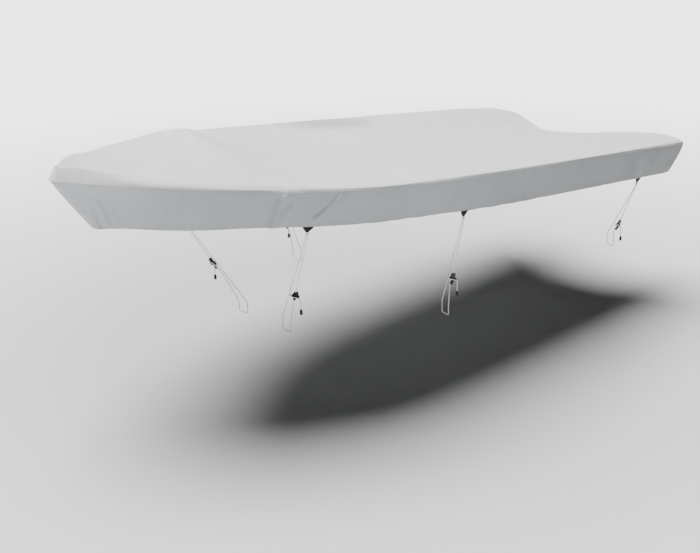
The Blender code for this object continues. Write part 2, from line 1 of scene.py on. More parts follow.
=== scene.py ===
# %% [markdown]
# # A fitted cover for a small open boat
# The cover is four panels of coated canvas, sewn edge to edge: a top panel, a
# skirt down each side and a skirt across the stern. Six ties hang from black
# webbing tabs under its hem. The boat is left out, so the cloth has to hold the
# shape that the boat would give it.
#
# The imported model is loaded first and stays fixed. Everything built below is in
# its frame, in metres: x towards the bow, y to port and z up.

# %% Load the fixed frame
import math
from collections import namedtuple

import bmesh
import bpy
from mathutils import Matrix, Vector, noise


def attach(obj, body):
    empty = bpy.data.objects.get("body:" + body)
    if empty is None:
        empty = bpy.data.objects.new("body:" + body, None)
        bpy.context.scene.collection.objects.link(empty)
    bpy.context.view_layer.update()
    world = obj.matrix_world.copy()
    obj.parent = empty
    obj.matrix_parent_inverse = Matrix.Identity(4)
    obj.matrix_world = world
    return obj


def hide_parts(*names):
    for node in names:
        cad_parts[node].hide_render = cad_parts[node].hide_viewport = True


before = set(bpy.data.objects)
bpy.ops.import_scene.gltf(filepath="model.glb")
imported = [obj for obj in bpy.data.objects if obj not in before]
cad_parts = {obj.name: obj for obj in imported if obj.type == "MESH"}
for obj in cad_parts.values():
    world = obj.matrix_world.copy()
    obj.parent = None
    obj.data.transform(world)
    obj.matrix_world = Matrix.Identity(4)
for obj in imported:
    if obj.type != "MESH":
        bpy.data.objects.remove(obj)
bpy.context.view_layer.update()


# %% [markdown]
# ## The camera
# A camera is an object whose own -Z axis looks forward. Three angles turn it:
# yaw round the vertical, pitch downward and a slight roll. Building its matrix
# from the three axes is clearer than Euler angles, because each axis can be
# checked by eye. The lens is given in millimetres on a 36 mm wide sensor, and a
# far clip well past the floor's edge keeps the whole floor in view.

# %% Set the camera
CAMERA_PLACE = Vector((4.72475, 4.99036, 1.76052))
CAMERA_YAW, CAMERA_PITCH, CAMERA_ROLL = (math.radians(a) for a in (42.232, 20.665, -1.350))
LENS, SENSOR_WIDTH = 59.914, 36.0
LENS_SHIFT = (0.0008, -0.0010)
FAR_CLIP = 5000.0


def linked(name, data):
    """A new object for a camera, a mesh or a lamp, linked into the scene."""
    made = bpy.data.objects.new(name, data)
    bpy.context.scene.collection.objects.link(made)
    return made


def camera_matrix(place, yaw, pitch, roll):
    """The matrix of a camera at a place, turned by its three angles."""
    ahead = Vector((-math.sin(yaw) * math.cos(pitch), -math.cos(yaw) * math.cos(pitch),
                    -math.sin(pitch)))
    right = ahead.cross(Vector((0.0, 0.0, 1.0))).normalized()
    up = right.cross(ahead)
    turned_right = right * math.cos(roll) + up * math.sin(roll)
    turned_up = up * math.cos(roll) - right * math.sin(roll)
    axes = Matrix((turned_right, turned_up, -ahead)).transposed()
    return Matrix.Translation(place) @ axes.to_4x4()


camera_data = bpy.data.cameras.new("camera")
camera_data.sensor_fit = "HORIZONTAL"
camera_data.sensor_width = SENSOR_WIDTH
camera_data.lens = LENS
camera_data.shift_x, camera_data.shift_y = LENS_SHIFT
camera_data.clip_end = FAR_CLIP
camera = linked("camera", camera_data)
camera.matrix_world = camera_matrix(CAMERA_PLACE, CAMERA_YAW, CAMERA_PITCH, CAMERA_ROLL)
bpy.context.scene.camera = camera
print("camera at", [round(v, 3) for v in CAMERA_PLACE])


# %% [markdown]
# ## The boat's lines
# A boat is described by cross sections. Each row below is one section of the
# boat under the cloth, and a smooth curve through each column gives the values
# between the rows. The curve is a monotone cubic, which never swings past the
# rows it joins, so a hull that should be fair stays fair.
#
# These rows are measured from the stern corners and from the ground. The whole
# cover is then moved so that its origin is under the middle of the top panel.

# %% Tables of the boat's shape
def table(columns, *rows):
    """Rows whose entries are read by the names of their columns."""
    named = namedtuple("Row", columns)
    return [named(*row) for row in rows]


# x forward; half breadth; height of the seam; rise of the crown; radius of the
# shoulder; flare and rake of the skirt for each metre it drops; its depth
SECTIONS = table(
    "x half sheer crown shoulder flare rake drop",
    (0.00, 0.825, 1.066, 0.000, 0.012, 0.25, 0.48, 0.196),
    (0.15, 0.836, 1.082, 0.000, 0.009, 0.25, 0.35, 0.202),
    (0.45, 0.851, 1.114, 0.000, 0.007, 0.24, 0.05, 0.207),
    (1.00, 0.873, 1.172, -0.004, 0.007, 0.22, 0.00, 0.208),
    (2.00, 0.899, 1.279, -0.006, 0.007, 0.20, 0.00, 0.208),
    (2.50, 0.900, 1.334, 0.000, 0.007, 0.20, 0.00, 0.197),
    (2.80, 0.889, 1.367, 0.015, 0.007, 0.22, 0.00, 0.195),
    (3.00, 0.849, 1.389, 0.035, 0.008, 0.25, 0.00, 0.199),
    (3.20, 0.781, 1.411, 0.080, 0.009, 0.28, 0.00, 0.203),
    (3.36, 0.714, 1.429, 0.148, 0.010, 0.32, -0.03, 0.206),
    (3.46, 0.664, 1.440, 0.188, 0.012, 0.34, -0.06, 0.209),
    (3.60, 0.586, 1.456, 0.148, 0.017, 0.37, -0.12, 0.219),
    (3.80, 0.447, 1.479, 0.109, 0.029, 0.38, -0.26, 0.241),
    (3.95, 0.309, 1.496, 0.084, 0.037, 0.35, -0.42, 0.258),
    (4.05, 0.205, 1.508, 0.079, 0.040, 0.28, -0.54, 0.268),
    (4.12, 0.128, 1.516, 0.079, 0.039, 0.18, -0.62, 0.276),
    (4.18, 0.062, 1.523, 0.065, 0.037, 0.08, -0.68, 0.283),
    (4.238, 0.008, 1.530, 0.026, 0.035, 0.00, -0.715, 0.290),
)
# The stern edge of the top dips and turns forward round the outboard motor.
STERN_EDGE = table(
    "side forward lift",
    (-1.00, 0.054, -0.013), (-0.78, 0.028, -0.017), (-0.54, 0.114, -0.028),
    (-0.30, 0.227, -0.047), (-0.15, 0.279, -0.056), (0.00, 0.259, -0.052),
    (0.15, 0.239, -0.037), (0.30, 0.203, -0.020), (0.54, 0.069, 0.006),
    (0.78, -0.028, 0.012), (0.93, -0.022, 0.004), (1.00, 0.002, -0.002),
)
# Slack places in the top, as round hollows.
HOLLOWS = table(
    "x y long wide depth",
    (1.58, -0.72, 0.42, 0.20, 0.014),
    (1.05, 0.35, 0.55, 0.40, 0.006),
    (2.55, 0.30, 0.60, 0.45, 0.007),
    (0.62, -0.45, 0.35, 0.25, 0.006),
    (3.88, 0.22, 0.16, 0.09, 0.008),
)
print("sections:", len(SECTIONS), "places on the stern edge:", len(STERN_EDGE))


# %% Tables of the folds
# Folds in the skirts: ridges from one point to another, x along and h below the
# seam. Side is 1 to port and -1 to starboard.
FOLDS = table(
    "side x0 h0 x1 h1 width height",
    (1, 4.160, 0.110, 4.222, 0.275, 0.040, 0.008),
    (1, 4.122, 0.120, 4.152, 0.255, 0.036, 0.007),
    (1, 4.140, 0.030, 4.155, 0.120, 0.052, 0.004),
    (1, 3.385, 0.035, 3.440, 0.196, 0.048, 0.010),
    (1, 3.365, 0.095, 3.405, 0.196, 0.040, 0.007),
    (1, 3.140, 0.055, 3.235, 0.150, 0.048, 0.009),
    (1, 3.320, 0.018, 3.420, 0.016, 0.032, 0.005),
    (1, 2.300, 0.205, 2.360, 0.090, 0.060, 0.006),
    (1, 2.190, 0.205, 2.120, 0.085, 0.060, 0.005),
    (1, 0.500, 0.200, 0.570, 0.090, 0.060, 0.006),
    (1, 1.760, 0.150, 1.560, 0.190, 0.068, -0.005),
    (-1, 4.140, 0.090, 4.190, 0.260, 0.044, 0.008),
    (-1, 3.400, 0.050, 3.420, 0.196, 0.052, 0.008),
    (-1, 3.160, 0.060, 3.220, 0.170, 0.052, 0.007),
    (-1, 2.280, 0.200, 2.340, 0.090, 0.060, 0.006),
    (-1, 0.520, 0.200, 0.580, 0.090, 0.060, 0.006),
)
# Sharp creases: a narrow valley with a ridge beside it, width from its middle.
CREASES = table(
    "side x0 h0 x1 h1 width height",
    (1, 4.151, 0.100, 4.216, 0.280, 0.0120, 0.0120),
    (1, 4.112, 0.112, 4.144, 0.254, 0.0115, 0.0105),
    (1, 4.134, 0.046, 4.153, 0.118, 0.0150, 0.0035),
    (1, 4.010, 0.140, 4.060, 0.235, 0.0150, 0.0022),
    (1, 3.846, 0.028, 3.858, 0.186, 0.0120, 0.0078),
    (1, 3.812, 0.060, 3.806, 0.148, 0.0115, 0.0066),
    (1, 3.742, 0.196, 3.680, 0.112, 0.0120, 0.0072),
    (1, 3.402, 0.020, 3.450, 0.208, 0.0115, 0.0120),
    (1, 3.374, 0.078, 3.408, 0.178, 0.0105, 0.0098),
    (1, 3.122, 0.020, 3.238, 0.148, 0.0110, 0.0115),
    (1, 3.096, 0.034, 3.176, 0.110, 0.0100, 0.0078),
    (1, 3.392, 0.012, 3.276, 0.036, 0.0080, 0.0040),
    (1, 2.300, 0.205, 2.362, 0.080, 0.0120, 0.0030),
    (1, 2.190, 0.205, 2.120, 0.080, 0.0120, 0.0026),
    (1, 0.500, 0.200, 0.572, 0.080, 0.0120, 0.0030),
    (-1, 4.140, 0.090, 4.192, 0.265, 0.0110, 0.0080),
    (-1, 3.398, 0.040, 3.432, 0.198, 0.0105, 0.0060),
    (-1, 3.146, 0.036, 3.236, 0.168, 0.0100, 0.0060),
    (-1, 2.276, 0.200, 2.344, 0.080, 0.0120, 0.0030),
    (-1, 0.518, 0.200, 0.584, 0.080, 0.0120, 0.0030),
)
# Broad puckers of the hem, from crest to crest.
PUCKERS = table(
    "side x0 x1 pitch height",
    (1, 2.55, 3.12, 0.150, 0.0030),
    (1, 1.30, 2.45, 0.170, 0.0035),
    (1, 0.30, 1.20, 0.210, 0.0020),
    (-1, 0.40, 3.00, 0.190, 0.0030),
)
print("long folds:", len(FOLDS), "sharp creases:", len(CREASES))


# %% Smooth curves through the tables
def smooth_column(rows, name):
    """A column of a table as a smooth curve that never overshoots its rows."""
    xs = [row[0] for row in rows]
    ys = [getattr(row, name) for row in rows]
    steps = [b - a for a, b in zip(xs, xs[1:])]
    slopes = [(b - a) / step for a, b, step in zip(ys, ys[1:], steps)]
    tangents = [slopes[0]]
    for i in range(1, len(xs) - 1):
        before, after = slopes[i - 1], slopes[i]
        w0 = 2.0 * steps[i] + steps[i - 1]
        w1 = steps[i] + 2.0 * steps[i - 1]
        level = before * after <= 0.0
        tangents.append(0.0 if level else (w0 + w1) / (w0 / before + w1 / after))
    tangents.append(slopes[-1])

    def value(x):
        x = min(max(x, xs[0]), xs[-1])
        i = 0
        while i < len(xs) - 2 and x > xs[i + 1]:
            i += 1
        t = (x - xs[i]) / steps[i]
        t2, t3 = t * t, t * t * t
        return ((2 * t3 - 3 * t2 + 1) * ys[i] + (t3 - 2 * t2 + t) * steps[i] * tangents[i]
                + (-2 * t3 + 3 * t2) * ys[i + 1] + (t3 - t2) * steps[i] * tangents[i + 1])

    return value


SECTION = {name: smooth_column(SECTIONS, name) for name in SECTIONS[0]._fields[1:]}
EDGE_FORWARD = smooth_column(STERN_EDGE, "forward")
EDGE_LIFT = smooth_column(STERN_EDGE, "lift")


def ease(x):
    """From 0 to 1 as x goes from 0 to 1, level at both ends."""
    x = min(max(x, 0.0), 1.0)
    return x * x * (3.0 - 2.0 * x)


def hump(distance):
    """1 at the middle of a round hollow or ridge, easing to 0 at distance 1."""
    d = min(abs(distance), 1.0)
    return (1.0 - d * d) ** 2


print("half breadth amidships", round(SECTION["half"](2.14), 3))


# %% [markdown]
# ## The surface of the top
# One function gives any point of the top panel from two shares, along and
# across. The middle rises to a peak over the foredeck, like a tent, and just aft
# of the peak the cloth beside the middle line is pulled straight. The seam runs
# round the panel, and every skirt hangs from it, so all the panels are built from
# the same list of places on that seam and can't part.

# %% Points of the top panel and of its seam
TOP_END = 4.238
CROWN_POWER = 1.30          # under 2, so that the cloth peaks like a tent
DIP_REACH = 0.42            # how far forward the dip at the stern fades out
CLOTH = 0.002
MIDSHIP = 2.14
UP = Vector((0.0, 0.0, 1.0))
PEAK_X, PEAK_RISE = 3.46, 0.188
TENT_FROM, TENT_POWER = 2.40, 1.7       # where the straight pull starts, and its sag
TENT_SIDE = 0.28            # share of the half breadth where the pull is full
BOW_FULL = 0.028            # how much higher the top's edge is held at the bow
BOW_FULL_FROM, BOW_FULL_OVER = 3.92, 0.25


def crown_rise(x, side):
    """Sharp on the middle line; beside it the cloth is pulled straight from the peak."""
    sharp = SECTION["crown"](x)
    if not TENT_FROM < x < PEAK_X:
        return sharp
    pulled = PEAK_RISE * ((x - TENT_FROM) / (PEAK_X - TENT_FROM)) ** TENT_POWER
    return sharp + (pulled - sharp) * ease(abs(side) / TENT_SIDE)


def bow_fullness(x):
    """At the bow the edge of the top is held high, over a steep shoulder."""
    return BOW_FULL * ease((x - BOW_FULL_FROM) / BOW_FULL_OVER)


def top_height(x, side):
    """Height of the top above the ground; side is -1 to 1 across the boat."""
    y = side * SECTION["half"](x)
    rise = crown_rise(x, side) * (1.0 - abs(side) ** CROWN_POWER)
    dip = EDGE_LIFT(side) * hump((x - EDGE_FORWARD(side)) / DIP_REACH)
    hollow = sum(h.depth * hump(math.hypot((x - h.x) / h.long, (y - h.y) / h.wide))
                 for h in HOLLOWS)
    full = bow_fullness(x) * side * side
    return SECTION["sheer"](x) + SECTION["shoulder"](x) + rise + full + dip - hollow


def top_point(along, side):
    """A point of the top panel, along from the stern edge to the bow."""
    stern = EDGE_FORWARD(side)
    x = stern + (TOP_END - stern) * along
    return Vector((x, side * SECTION["half"](x), top_height(x, side)))


def seam_height(x, side):
    """Height of the seam, which follows the dip of the stern edge."""
    stern = EDGE_FORWARD(side)
    return SECTION["sheer"](x) + EDGE_LIFT(side) * hump((x - stern) / DIP_REACH)


def bow_outward(side):
    """At the blunt bow end the way out fans round from one side to the other."""
    step = 0.02
    slope = (SECTION["half"](TOP_END - step) - SECTION["half"](TOP_END)) / step
    angle = side * math.atan2(1.0, slope)
    return Vector((math.cos(angle), math.sin(angle), 0.0))


middle_share = (MIDSHIP - EDGE_FORWARD(0.0)) / (TOP_END - EDGE_FORWARD(0.0))
ORIGIN = top_point(middle_share, 0.0) - Vector((0.0, 0.0, CLOTH))
print("origin above the ground", round(ORIGIN.z, 5))


# %% Places round the seam
# point: on the top panel inside its shoulder; outward: the way out in plan;
# seam: on the seam below; side: across the boat, from -1 to 1
Entry = namedtuple("Entry", "point outward seam side")
# The cloth goes over the gunwale in a soft round, so the seam is pulled in a
# little; towards the bow, where the shoulder itself is wide, this fades out.
SEAM_PULL, EDGE_PULL, EDGE_DROP = 0.010, 0.006, 0.0035
ROUND_DEPTH = 0.034         # below the seam, where the skirt is plumb again
EDGE_REACH = 0.040          # how far in from its edge the top is drawn in
PULL_END, PULL_FADE = 3.85, 0.40


def seam_pull(x):
    """1 where the seam is fully drawn in, fading to 0 towards the bow."""
    return ease((PULL_END - x) / PULL_FADE)


def border(shares, across):
    """A closed round of entries: bow, port side, stern, starboard side."""
    middle = len(across) // 2
    bow = [(top_point(1.0, v), v, True) for v in across]
    port = [(top_point(s, 1.0), 1.0, False) for s in reversed(shares[:-1])]
    stern = [(top_point(0.0, v), v, False) for v in reversed(across)]
    starboard = [(top_point(s, -1.0), -1.0, False) for s in shares[1:-1]]
    ring = bow[middle:] + port[:-1] + stern + starboard + bow[:middle]
    entries = []
    for i, (point, side, at_bow) in enumerate(ring):
        ahead, behind = ring[(i + 1) % len(ring)][0], ring[i - 1][0]
        along = Vector((ahead.x - behind.x, ahead.y - behind.y, 0.0)).normalized()
        outward = bow_outward(side) if at_bow else Vector((along.y, -along.x, 0.0))
        pull = seam_pull(point.x)
        seam = point + outward * (SECTION["shoulder"](point.x) - SEAM_PULL * pull)
        seam.z = seam_height(point.x, side)
        edge = point - outward * (EDGE_PULL * pull) - UP * (EDGE_DROP * pull)
        entries.append(Entry(edge, outward, seam, side))
    return entries


FOLDED = ((3.08, 3.47), (3.99, 4.25))   # where most of the sharp creases are
ROW_STEP, FOLDED_STEP = 0.0150, 0.0062


def shares_along():
    """From 0 at the stern to 1 at the bow, closer together where the cloth is folded."""
    first, places = EDGE_FORWARD(1.0), []
    x = first
    while x < TOP_END:
        places.append(x)
        x += FOLDED_STEP if any(a < x < b for a, b in FOLDED) else ROW_STEP
    return [(x - first) / (places[-1] - first) for x in places]


def shares_across(count, crowding=0.6):
    """From -1 to 1, closer together towards the sides."""
    found = []
    for i in range(count + 1):
        t = 2.0 * i / count - 1.0
        found.append((1.0 - crowding) * t + crowding * math.sin(0.5 * math.pi * t))
    return found


CELLS_ACROSS = 114
ALONG, ACROSS = shares_along(), shares_across(CELLS_ACROSS)
ROWS_ALONG = len(ALONG) - 1
RING = border(ALONG, ACROSS)
print("places round the seam:", len(RING))


# %% [markdown]
# ## How the skirts hang
# A skirt drops from the seam and leans inward with the flare of the hull. Its
# folds are ridges that start at a place of strain and die away, and the hem is
# gathered a little by the cord inside it. The long folds are the solid's, except
# at the corners of the bow, where they run down and forward. Along most of them
# lies a sharp crease: a narrow valley with a ridge beside it. On top come small
# puckers that thread and tension pull into the cloth: a pattern of noise, strong
# at the seam or the hem and fading away from it.

# %% Folds and creases
SKIRT_BELLY = 0.006
CREASE_TAIL = 0.02          # over which a crease fades at each end
RIDGE_SHARE, RIDGE_OFF, RIDGE_WIDE = 0.80, 1.9, 1.25    # against the valley's


def fold_height(side, x, depth, drop):
    """The skirt's belly, its long folds and the broad puckers of its hem."""
    height = SKIRT_BELLY * math.sin(math.pi * min(depth / drop, 1.0))
    for fold in FOLDS:
        if fold.side * side < 0.0:
            continue
        run, fall = fold.x1 - fold.x0, fold.h1 - fold.h0
        share = ((x - fold.x0) * run + (depth - fold.h0) * fall) / (run * run + fall * fall)
        share = min(max(share, 0.0), 1.0)
        away = math.hypot(x - fold.x0 - share * run, depth - fold.h0 - share * fall)
        height += fold.height * hump(away / fold.width)
    for row in PUCKERS:
        if row.side * side > 0.0 and row.x0 < x < row.x1:
            swell = math.sin(math.pi * (x - row.x0) / (row.x1 - row.x0))
            wave = math.sin(2.0 * math.pi * (x - row.x0) / row.pitch)
            height += row.height * swell * wave * (depth / drop) ** 2
    return height


def crease_height(side, x, depth):
    """Sharp creases, each a narrow valley with a ridge on its after side."""
    height = 0.0
    for crease in CREASES:
        run, fall = crease.x1 - crease.x0, crease.h1 - crease.h0
        long = math.hypot(run, fall)
        along = ((x - crease.x0) * run + (depth - crease.h0) * fall) / long
        if crease.side * side < 0.0 or not -CREASE_TAIL < along < long + CREASE_TAIL:
            continue
        off = ((x - crease.x0) * fall - (depth - crease.h0) * run) / (long * crease.width)
        fade = (ease((along + CREASE_TAIL) / (2.0 * CREASE_TAIL))
                * ease((long + CREASE_TAIL - along) / (2.0 * CREASE_TAIL)))
        valley = math.exp(-off * off)
        ridge = math.exp(-((off + RIDGE_OFF) / RIDGE_WIDE) ** 2)
        height += crease.height * fade * (RIDGE_SHARE * ridge - valley)
    return height


print("deepest crease", round(max(c.height for c in CREASES) * 1000, 1), "mm")


# %% Puckers and the doubled seam
SEAM_GAP = 0.0003
HEM_DEPTH = 0.022
FELL_DEPTH = 0.013          # the seam allowance, turned down and sewn flat
FELL_RISE, HEM_RISE = 0.0009, 0.0006    # how far the doubled cloth stands out
SEAM_STITCH_ROWS = (0.0032, 0.0102)
HEM_STITCH_UP = 0.0185      # above the hem's lower edge
STITCH_DIMPLE = 0.0005
GATHER, SLACK = 0.0020, 0.0042          # heights of the puckers
HEM_TUCK, MIDSHIP_TUCK = 0.0042, 0.0040


def pucker_height(place, x, depth, drop):
    """Small gathers, strongest at the seam and at the hem; place is along the seam."""
    at_seam = math.exp(-depth / 0.030)
    at_hem = math.exp(-(drop - depth) / 0.040)
    gathers = noise.noise(Vector((place * 32.0, depth * 5.0, 3.7)))
    tucks = noise.noise(Vector((place * 17.0 + depth * 2.5, depth * 3.0, 9.1)))
    slack = noise.noise(Vector((place * 3.1, depth * 6.0, 5.3)))
    drawn = HEM_TUCK + MIDSHIP_TUCK * hump((x - 2.2) / 1.3)
    return GATHER * at_seam * gathers + drawn * at_hem * tucks + SLACK * slack


def band_height(depth, drop):
    """The doubled cloth of the seam and of the hem, dimpled by its stitches."""
    felled = FELL_RISE * ease((FELL_DEPTH - depth) / 0.0015)
    hem = HEM_RISE * ease((depth - (drop - HEM_DEPTH)) / 0.002)
    dimples = sum(hump((depth - row) / 0.0016) for row in SEAM_STITCH_ROWS)
    dimples += hump((depth - (drop - HEM_STITCH_UP)) / 0.0022)
    return felled + hem - STITCH_DIMPLE * dimples


def round_over(x, depth):
    """A skirt swells out again below a seam that is pulled in."""
    return SEAM_PULL * seam_pull(x) * (1.0 - max(1.0 - depth / ROUND_DEPTH, 0.0) ** 2)


def inward_lean(entry, depth):
    """How far a skirt has leaned in with the flare of the hull."""
    x = entry.point.x
    return (SECTION["flare"](x) * depth * entry.seam.y
            / (SECTION["half"](x) + SECTION["shoulder"](x)))


def skirt_point(entry, depth, place):
    """A point on the outer face of a skirt, at a depth below the seam."""
    x = entry.point.x
    drop = SECTION["drop"](x)
    side = math.copysign(1.0, entry.seam.y)
    lift = (fold_height(side, x, depth, drop)
            + crease_height(side, x, depth) * ease(depth / 0.020)
            + pucker_height(place, x, depth, drop) * ease(depth / 0.006)
            + round_over(x, depth) + band_height(depth, drop))
    return Vector((entry.seam.x + SECTION["rake"](x) * depth + entry.outward.x * lift,
                   entry.seam.y - inward_lean(entry, depth) + entry.outward.y * lift,
                   entry.seam.z - depth - SEAM_GAP))


print("felled seam stands", FELL_RISE * 1000, "mm proud")


# %% [markdown]
# ## Where the ties run
# A tie goes from a knot under its tab down to the trailer's rail, once round the
# rail and back up through a hook that holds it tight, with a short tail that
# ends in a cap. The route is a list of corners, each given from the nearest
# fitting, and every corner is rounded with a real bend radius.

# %% Places of the ties
HEM = 0.004                 # thickness of the doubled hem
# tab_x: the tab; rail_x, rail_y: the rail, turned by yaw degrees; back_shift: how
# far forward the cord passes behind it; held: the hook's share of the way up to
# the knot
TIES = table(
    "name tab_x rail_x rail_y yaw back_shift held",
    ("fore", 3.246, 3.010, 0.236, 30.0, 0.035, 0.315),
    ("mid", 2.238, 2.199, 0.702, 14.0, 0.000, 0.310),
    ("aft", 0.455, 0.525, 0.670, 0.0, -0.022, 0.225),
)
RAIL_TOP, RAIL_WIDE = 0.480, 0.060
CORD_RADIUS = 0.0025
TAB_WIDTH, TAB_TIP_WIDTH = 0.064, 0.018
TAB_SHOWN, TAB_TUCKED, TAB_THICK, TAB_CLEAR = 0.046, 0.014, 0.004, 0.0004
KNOT_SIZE = (0.022, 0.016, 0.013)
KNOT_EXIT, STRAND_HALF_GAP = 0.0074, 0.0045     # where the cords leave the knot
LABELS = [(side_name + "_" + tie.name, tie, side)
          for tie in TIES for side_name, side in (("port", 1.0), ("starboard", -1.0))]
print("ties:", ", ".join(label for label, _, _ in LABELS))


# %% Directions at each tie
def side_entry(x, side):
    """A place on the seam at any x, for either side."""
    step = 0.01
    slope = (SECTION["half"](x + step) - SECTION["half"](x - step)) / (2.0 * step)
    outward = Vector((-slope, side, 0.0)).normalized()
    point = Vector((x, side * SECTION["half"](x), SECTION["sheer"](x)))
    return Entry(point, outward, point + outward * SECTION["shoulder"](x), side)


def plain_skirt_point(entry, depth):
    """A skirt's point without its creases, small puckers and doubled seam."""
    x = entry.point.x
    lift = fold_height(math.copysign(1.0, entry.seam.y), x, depth, SECTION["drop"](x))
    fall = Vector((SECTION["rake"](x) * depth, -inward_lean(entry, depth), -depth))
    return entry.seam + fall + entry.outward * lift


def tab_frame(tab_x, side):
    """Middle of a tab's outer face at the hem, and the ways aft, down and out."""
    entry = side_entry(tab_x, side)
    drop = SECTION["drop"](tab_x)
    hem, above = plain_skirt_point(entry, drop), plain_skirt_point(entry, 0.9 * drop)
    down = (hem - above).normalized()
    aft = entry.outward.cross(down).normalized() * side
    out = down.cross(aft).normalized() * side
    inset = 0.0
    for step in range(-4, 5):
        near = side_entry(tab_x + step * TAB_WIDTH / 8.0, side)
        for depth in (drop - TAB_TUCKED, drop):
            lining = plain_skirt_point(near, depth) - near.outward * HEM
            inset = min(inset, (lining - hem).dot(out))
    return hem + out * (inset - TAB_CLEAR), aft, down, out


def tie_frames(tie, side):
    """Places, and the ways aft, up and out from each, that a tie is built from."""
    face, hem_aft, hem_down, hem_out = tab_frame(tie.tab_x, side)
    turn = math.radians(tie.yaw)
    rail_out = Vector((math.sin(turn), side * math.cos(turn), 0.0))
    rail_aft = Vector((-math.cos(turn), side * math.sin(turn), 0.0))
    rail = Vector((tie.rail_x, side * tie.rail_y, RAIL_TOP))
    tip = face + hem_down * TAB_SHOWN - hem_out * (0.5 * TAB_THICK)
    knot = tip - UP * (0.485 * KNOT_SIZE[1] + SEAM_GAP)
    pull = (knot - rail).normalized()
    aft = pull.cross(rail_out).normalized() * side
    out = aft.cross(pull).normalized() * side
    middle = rail.lerp(knot, tie.held)
    behind = rail - rail_out * (RAIL_WIDE + CORD_RADIUS + 0.001) - rail_aft * tie.back_shift
    return {
        "tab": (face - hem_out * TAB_THICK, hem_aft, -hem_down, hem_out),
        "knot": (knot, aft, pull, out),
        "behind": (behind, rail_aft, UP, rail_out),
        "rail": (rail, rail_aft, UP, rail_out),
        "adjuster": (middle, aft, pull, out),
        "tail": (middle, aft, UP, rail_out),
    }


def place(axes, aft, up, out):
    """A point given from one of a tie's places, in the cover's own frame."""
    base, aft_way, up_way, out_way = axes
    return base + aft_way * aft + up_way * up + out_way * out - ORIGIN


FRAMES = {label: tie_frames(tie, side) for label, tie, side in LABELS}
print("a tie is built from its", ", ".join(FRAMES["port_fore"]))


# %% Routes of the cords
MAIN_ROUTE = table(
    "place aft up out bend",
    ("knot", -STRAND_HALF_GAP, -KNOT_EXIT, 0.0000, 0.0),
    ("knot", -0.0050, -0.0300, 0.0000, 0.200),
    ("behind", 0.000, 0.0045, 0.0000, 0.012),
    ("behind", 0.000, -0.0655, 0.0000, 0.010),
    ("rail", 0.000, -0.0655, 0.0045, 0.010),
    ("rail", 0.000, -0.0040, 0.0045, 0.060),
    ("adjuster", 0.0000, -0.0700, -0.0100, 0.060),
    ("adjuster", -0.0080, -0.0220, -0.0103, 0.080),
    ("adjuster", -0.0290, 0.0090, -0.0103, 0.010),
    ("adjuster", -0.0290, 0.0120, 0.0103, 0.010),
    ("adjuster", 0.0290, -0.0150, 0.0100, 0.014),
    ("tail", 0.0285, -0.0520, 0.0060, 0.060),
    ("tail", 0.0285, -0.0800, 0.0060, 0.0),
)
HOOK_HEAD = 0.038           # top of the hook above its middle
PATH_BEND_STEP = math.radians(32.0)     # between the points of the declared route
CORD_BEND_STEP = math.radians(9.0)      # and of the cord that is drawn


def rounded_route(corners, bend_step):
    """Points along a taut cord: straight runs, joined by round bends."""
    points = [corners[0][0]]
    for (before, _), (corner, bend), (after, _) in zip(corners, corners[1:], corners[2:]):
        back, on = before - corner, after - corner
        turn = math.pi - back.angle(on)
        reach = min(bend * math.tan(0.5 * turn), 0.49 * back.length, 0.49 * on.length)
        radius = reach / math.tan(0.5 * turn)
        back.normalize()
        on.normalize()
        centre = corner + (back + on).normalized() * (radius / math.cos(0.5 * turn))
        start = corner + back * reach
        count = max(1, math.ceil(turn / bend_step))
        for k in range(count + 1):
            angle = turn * k / count
            points.append(centre + (start - centre) * math.cos(angle)
                          - back * (radius * math.sin(angle)))
    points.append(corners[-1][0])
    return points


def length_of(points):
    """Length of a line of points."""
    return sum((b - a).length for a, b in zip(points, points[1:]))


def main_corners(label):
    """The corners of a tie's long cord, each with its bend radius."""
    axes = FRAMES[label]
    return [(place(axes[row.place], row.aft, row.up, row.out), row.bend)
            for row in MAIN_ROUTE]


for label, _, _ in LABELS:
    route = rounded_route(main_corners(label), PATH_BEND_STEP)
    print(label, "cord", round(length_of(route), 3), "m in", len(route), "points")


# %% [markdown]
# ## A helper for meshes
# Most pieces here are lists of points and faces worked out in code, so one
# helper turns such lists into an object. It also stores a UV for every corner of
# every face. A UV is a flat coordinate on the surface. Here it is in metres, so
# that a weave has the same size on every panel.

# %% Objects from points and faces
def make_object(name, points, faces, corner_uvs=None, sharp=50.0):
    """A smooth-shaded object; edges steeper than sharp degrees stay crisp."""
    mesh = bpy.data.meshes.new(name)
    mesh.from_pydata([tuple(p) for p in points], [], faces)
    if corner_uvs:
        layer = mesh.uv_layers.new(name="cloth")
        flat = [value for face in corner_uvs for uv in face for value in uv]
        layer.data.foreach_set("uv", flat)
    mesh.validate()
    mesh.shade_smooth()
    mesh.set_sharp_from_angle(angle=math.radians(sharp))
    return linked(name, mesh)


def put_on(piece, finish, slot):
    """Finish a piece, and let it ride on the cover."""
    piece.data.materials.clear()
    piece.data.materials.append(finish)
    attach(piece, "root")
    return piece


print("helpers:", make_object.__name__, "and", put_on.__name__)


# %% [markdown]
# ## Materials
# A material is a small network of nodes. Waves and noise make a height, the
# height goes through Bump nodes to tilt the light, and the same values vary the
# colour and the roughness a little. Everything reads either the piece's own UV
# in metres or its Object coordinates, so a pattern stays on the cloth when the
# view changes.

# %% Short names for the nodes
def feed(tree, socket, value):
    """Link a socket to a socket, or set it to a plain value."""
    if isinstance(value, bpy.types.NodeSocket):
        tree.links.new(value, socket)
    else:
        socket.default_value = value


def maths(tree, operation, *values):
    """One step of arithmetic on sockets or plain values."""
    node = tree.nodes.new("ShaderNodeMath")
    node.operation = operation
    for socket, value in zip(node.inputs, values):
        feed(tree, socket, value)
    return node.outputs[0]


